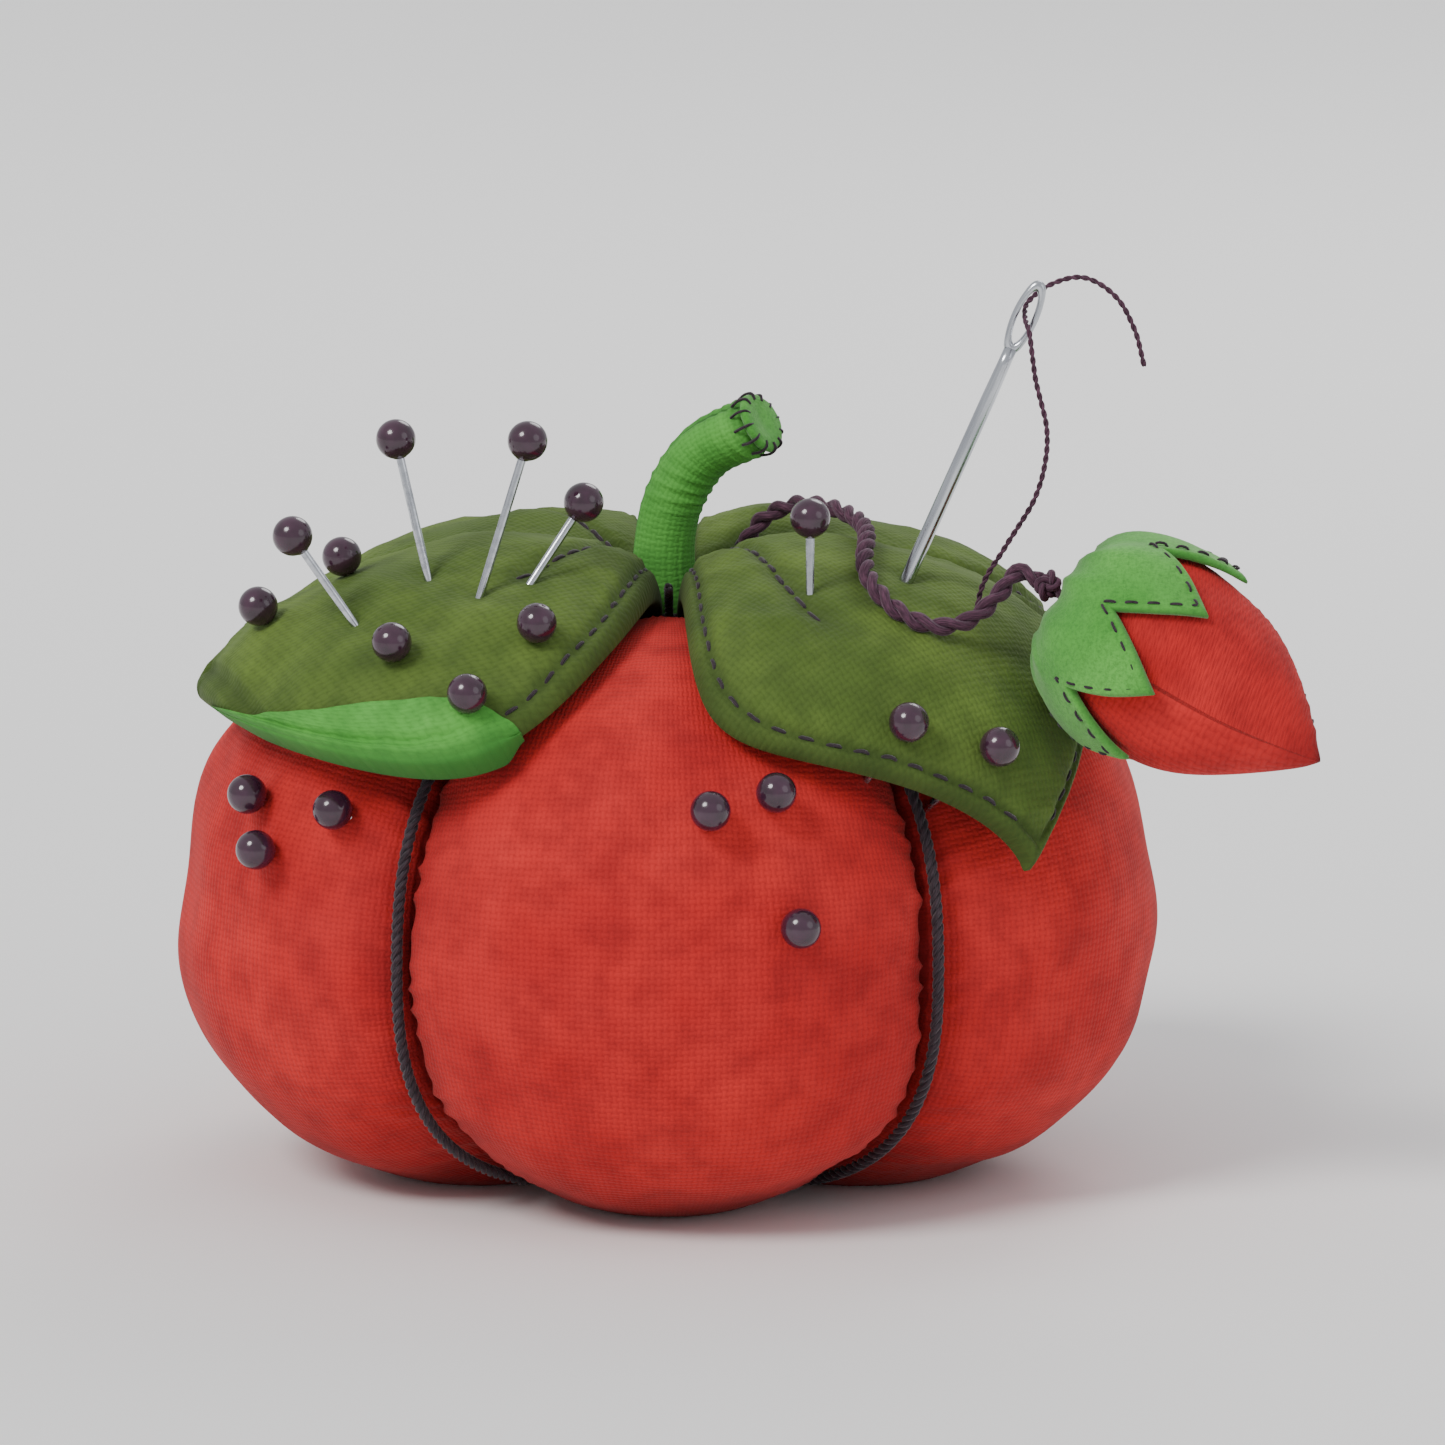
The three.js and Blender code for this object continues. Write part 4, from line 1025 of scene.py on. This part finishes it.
def berry_solid():
    t = np.linspace(0, 1, 101)
    share = mix(0.012, 0.9995, 0.5 - 0.5 * np.cos(math.pi * t))
    a, share = np.meshgrid(full_turn(144), share)
    seam_away = np.abs(np.mod(a - BERRY_SEAM_TURN + math.pi, TAU) - math.pi) * berry_radius(share)
    seam = -0.35 * bell(seam_away, 0.5) * ease(share, 0.02, 0.1)
    pulled = ridges(share * BERRY_LENGTH + 0.2 * seam_away, 2.6, 3) * np.exp(-seam_away / 2.5) * 0.25
    gathers = 0.4 * (ridges(a * 8, 4.0, 8) - 0.4) * np.exp(-share / 0.14)
    point = unit(on_berry(a, share) - berry_foot)
    lumps = wobble(point * 20, 14, 5) * 0.22
    lift = (seam + pulled + gathers + lumps) * ease(share, 0, 0.06) * (1 - ease(share, 0.93, 1.0))
    points = on_berry(a, share, lift)
    cloth = stacked(a * BERRY_RADIUS * np.clip(1.1 - share, 0.15, 1), share * BERRY_LENGTH, 0)
    # Painted shade along the seam, towards the tip and close under the cap.
    tip_shade, cap_shade = 0.45 * ease(share, 0.8, 1.0), 0.4 * np.exp(-share / 0.2)
    tone = 0.55 * bell(seam_away, 0.9) + tip_shade + cap_shade
    return Solid().sleeve(points, cloth, tone)


berry = piece("strawberry_cloth", berry_solid(), "strawberry", "red_cotton",
              ["strawberry_cover", "emery_grit"])


def berry_stitches():
    sewing = Solid()
    seam_share = np.linspace(0.42, 0.93, 120)
    line = on_berry(np.full(120, BERRY_SEAM_TURN), seam_share, np.full(120, -0.12))
    run = arc(line)
    half_length = 0.75
    for at in np.arange(0.4, run[-1], 1.15):
        share = float(np.interp(at, run, seam_share))
        spread = np.linspace(-half_length, half_length, 7)
        turn = BERRY_SEAM_TURN + spread / max(1.0, float(berry_radius(share)))
        lift = 0.16 - 0.55 * (spread / half_length) ** 4
        sewing.rope(on_berry(turn, np.full(7, share), lift), 0.12, 6)
    return sewing


piece("strawberry_seam_stitches", berry_stitches(), "strawberry", "charcoal_thread")


def cap_point(turn):
    """1 at the tip of each of the cap's points, 0 in the valleys between them."""
    return np.abs(np.mod(turn / TAU * CAP_POINTS, 1) * 2 - 1)


def cap_edge(turn):
    return mix(*CAP_EDGE_SHARE, cap_point(turn) ** 0.92)


def cap_solid():
    """The felt cap, with a ring of points that curl up unevenly."""
    a, v = np.meshgrid(full_turn(CAP_POINTS * 30), np.linspace(0, 1, 28))
    share = mix(0.012, cap_edge(a), v)
    curl = 0.45 * ease(v, 0.6, 1) * (0.5 + 0.5 * np.sin(a * 3 + 1)) * cap_point(a)
    rounding = 0.3 * ease(v, 0.94, 1)
    lumps = 0.12 * wobble(np.stack([np.cos(a) * 8, np.sin(a) * 8, share * 20], -1), 6, 12)
    dip = 0.25 * ridges(a * 6, 5.4, 14) * (1 - ease(v, 0, 0.5))
    outer = on_berry(a, share, 1.25 + curl - rounding + lumps + dip)
    inner = on_berry(a, share, 0.42 + curl + rounding * 0.5)
    cloth = stacked(a * BERRY_RADIUS, share * BERRY_LENGTH, 0)
    # Painted shade at the rim of the points and at the top of the cap by the knot.
    tone = 0.5 * ease(v, 0.93, 1) + 0.5 * (1 - ease(v, 0, 0.25))
    return Solid().shell(outer, inner, cloth, tone, wrap=True)


piece("strawberry_cap_felt", cap_solid(), "strawberry", "bright_green_felt", ["strawberry_cap"])


def cap_stitches():
    sewing = Solid()
    turn = np.linspace(0, TAU, CAP_POINTS * 40 + 1)
    curl = 0.3 * (0.5 + 0.5 * np.sin(turn * 3 + 1)) * cap_point(turn)
    line = on_berry(turn, cap_edge(turn) - 0.05, 1.3 + curl)
    length, space, dip = 1.1, 0.75, 0.3
    start = 0.4
    while start + length < arc(line)[-1]:
        path = points_at(line, np.linspace(start, start + length, 7))
        inwards = unit(berry_foot + BERRY_DIRECTION * 8 - path)
        sewing.rope(path + inwards * (dip * np.linspace(-1, 1, 7) ** 4)[:, None], 0.12, 6)
        start += length + space
    return sewing


piece("strawberry_cap_stitches", cap_stitches(), "strawberry", "charcoal_thread")

# The loop that the strawberry hangs by, from its cap up into the knot.
hanger_path = catmull([KNOT + BERRY_DIRECTION * at for at in (0.4, 1.8, KNOT_TO_BERRY + 0.8)])
hanger = Solid().twisted(hanger_path, 0.62, plies=2, pitch=3.4, step=0.2, sides=9)
piece("strawberry_hanger", hanger, "strawberry", "plum_cord")


def knot_solid():
    """An overhand knot pulled tight: a trefoil of cord."""
    t = np.linspace(0, TAU, 241)
    trefoil = np.stack([np.sin(t) + 2 * np.sin(2 * t), np.cos(t) - 2 * np.cos(2 * t), -np.sin(3 * t)], -1)
    trefoil = trefoil * (0.3, 0.3, 0.5)
    u, v = facing(BERRY_DIRECTION)
    path = KNOT + trefoil @ np.array([u, v, BERRY_DIRECTION])
    return Solid().twisted(path, 0.55, plies=2, pitch=2.6, step=0.15, sides=8, closed=True)


piece("strawberry_knot_cord", knot_solid(), "emery_knot", "plum_cord", ["strawberry_knot"])

# ---- pins ----
POINT_PROFILE = [(0, 0), (0.05, 0.12), (0.14, 0.9), (0.24, 2.0), (0.31, 3.0), (PIN_RADIUS, 4.4)]
COLLAR_PROFILE = [(0, 0.3), (0.42, 0.02), (0.5, -0.06), (0.58, 0.0)]
ball_middle = math.sqrt(HEAD_RADIUS**2 - 0.55**2)
ball_turn = np.linspace(-1.2, math.pi / 2, 30)
ball_profile = [(HEAD_RADIUS * math.cos(t), ball_middle + HEAD_RADIUS * math.sin(t)) for t in ball_turn]
for pin, line in pin_lines.items():
    length = np.linalg.norm(line["end"] - line["tip"])
    profile = [*POINT_PROFILE, (PIN_RADIUS, length - 0.1), (0.3, length), (0, length)]
    shaft = turned(profile, line["tip"], line["axis"], 24)
    piece(f"{pin}_steel", shaft, pin, "bright_steel", [f"{pin}_shaft"])
    socket = line["end"] - line["axis"] * HEAD_SOCKET
    head = turned(COLLAR_PROFILE + ball_profile, socket, line["axis"], 40)
    piece(f"{pin}_ball", head, pin, "plum_head", [f"{pin}_head"])


# ---- needle ----
EYE_HALF_WIDTH, EYE_HALF_LENGTH = 0.85, 2.8
EYE_TUBE_SIDES = 16


def needle_solid():
    """A steel needle whose flattened head is pierced by a long eye that faces the front."""
    side = unit(np.cross(np.array((0, 1.0, 0)), needle_axis))
    deep = np.cross(needle_axis, side)
    eye = NEEDLE_LENGTH - EYE_BELOW_TOP
    z = np.concatenate([np.linspace(0, 6, 14), np.linspace(6.5, eye - EYE_HALF_LENGTH, 20)])
    radius = NEEDLE_RADIUS * np.clip(z / 5.5, 0.02, 1) ** 0.75 * (1 - 0.12 * ease(z, 30, 36))
    angle = full_turn(24)
    ring = spokes(angle, side, deep)
    points = needle_tip + z[:, None, None] * needle_axis + radius[:, None, None] * ring
    cloth = stacked(angle[None], angle[None] * 0, z[:, None])
    solid = Solid().sleeve(points, cloth)

    t = np.linspace(0, TAU, 97)[:-1]
    sideways, lengthways = np.sin(t)[:, None] * side, -np.cos(t)[:, None] * needle_axis
    loop = needle_tip + needle_axis * eye + EYE_HALF_WIDTH * sideways + EYE_HALF_LENGTH * lengthways
    spoke = unit(sideways / EYE_HALF_WIDTH + lengthways / EYE_HALF_LENGTH)
    phi = full_turn(EYE_TUBE_SIDES)
    wide = 0.27 + 0.2 * np.abs(np.cos(t)) ** 6
    tube = (loop[:, None] + (wide[:, None] * np.cos(phi))[..., None] * spoke[:, None]
            + (0.4 * np.sin(phi))[None, :, None] * deep)
    cloth = stacked(np.cos(phi)[None], np.sin(phi)[None], (t * 3)[:, None])
    faces = grid_faces(EYE_TUBE_SIDES, len(t) + 1, wrap=True) % (EYE_TUBE_SIDES * len(t))
    return solid.add(tube, faces, cloth)


piece("needle_steel", needle_solid(), "needle", "bright_steel", ["needle"])


# ---- floor and light ----
FLOOR_RADIUS, FLOOR_SIDES = 40, 96
FLOOR_COLOUR = (0.92, 0.915, 0.905, 1)
floor_azimuth = np.linspace(0, 360, FLOOR_SIDES, endpoint=False)
floor_mesh = bpy.data.meshes.new("floor")
floor_points = around(floor_azimuth, FLOOR_RADIUS, 0.0).tolist()
floor_mesh.from_pydata(floor_points, [], [list(range(FLOOR_SIDES))])
floor_shader = Shader("floor", 0.8, Specular_IOR_Level=0.2, Base_Color=FLOOR_COLOUR)
floor_mesh.materials.append(floor_shader.material)
floor = add_object("floor", floor_mesh)


def lamp(name, kind, towards, strength, colour=(1, 1, 1), **settings):
    """A lamp at a place, turned to the object; a sun shines from that direction."""
    light = bpy.data.lights.new(name, kind)
    light.energy, light.color = strength, colour
    for key, value in settings.items():
        setattr(light, key, value)
    made = add_object(name, light)
    made.location = towards
    made.rotation_euler = (AIM - Vector(towards)).to_track_quat("-Z", "Y").to_euler()


lamp("key", "SUN", (-0.5, -0.5, 0.72), 2.1, (1, 0.985, 0.965), angle=math.radians(22))
lamp("fill", "AREA", (0.62, -0.42, 0.36), 0.6, (0.96, 0.98, 1), shape="DISK", size=0.5)
lamp("rim", "AREA", (0.25, 0.62, 0.55), 1.6, shape="DISK", size=0.4)
world = bpy.data.worlds.new("world")
world.use_nodes = True
background = world.node_tree.nodes["Background"].inputs
background["Color"].default_value = (0.95, 0.965, 1, 1)
background["Strength"].default_value = 0.72
bpy.context.scene.world = world
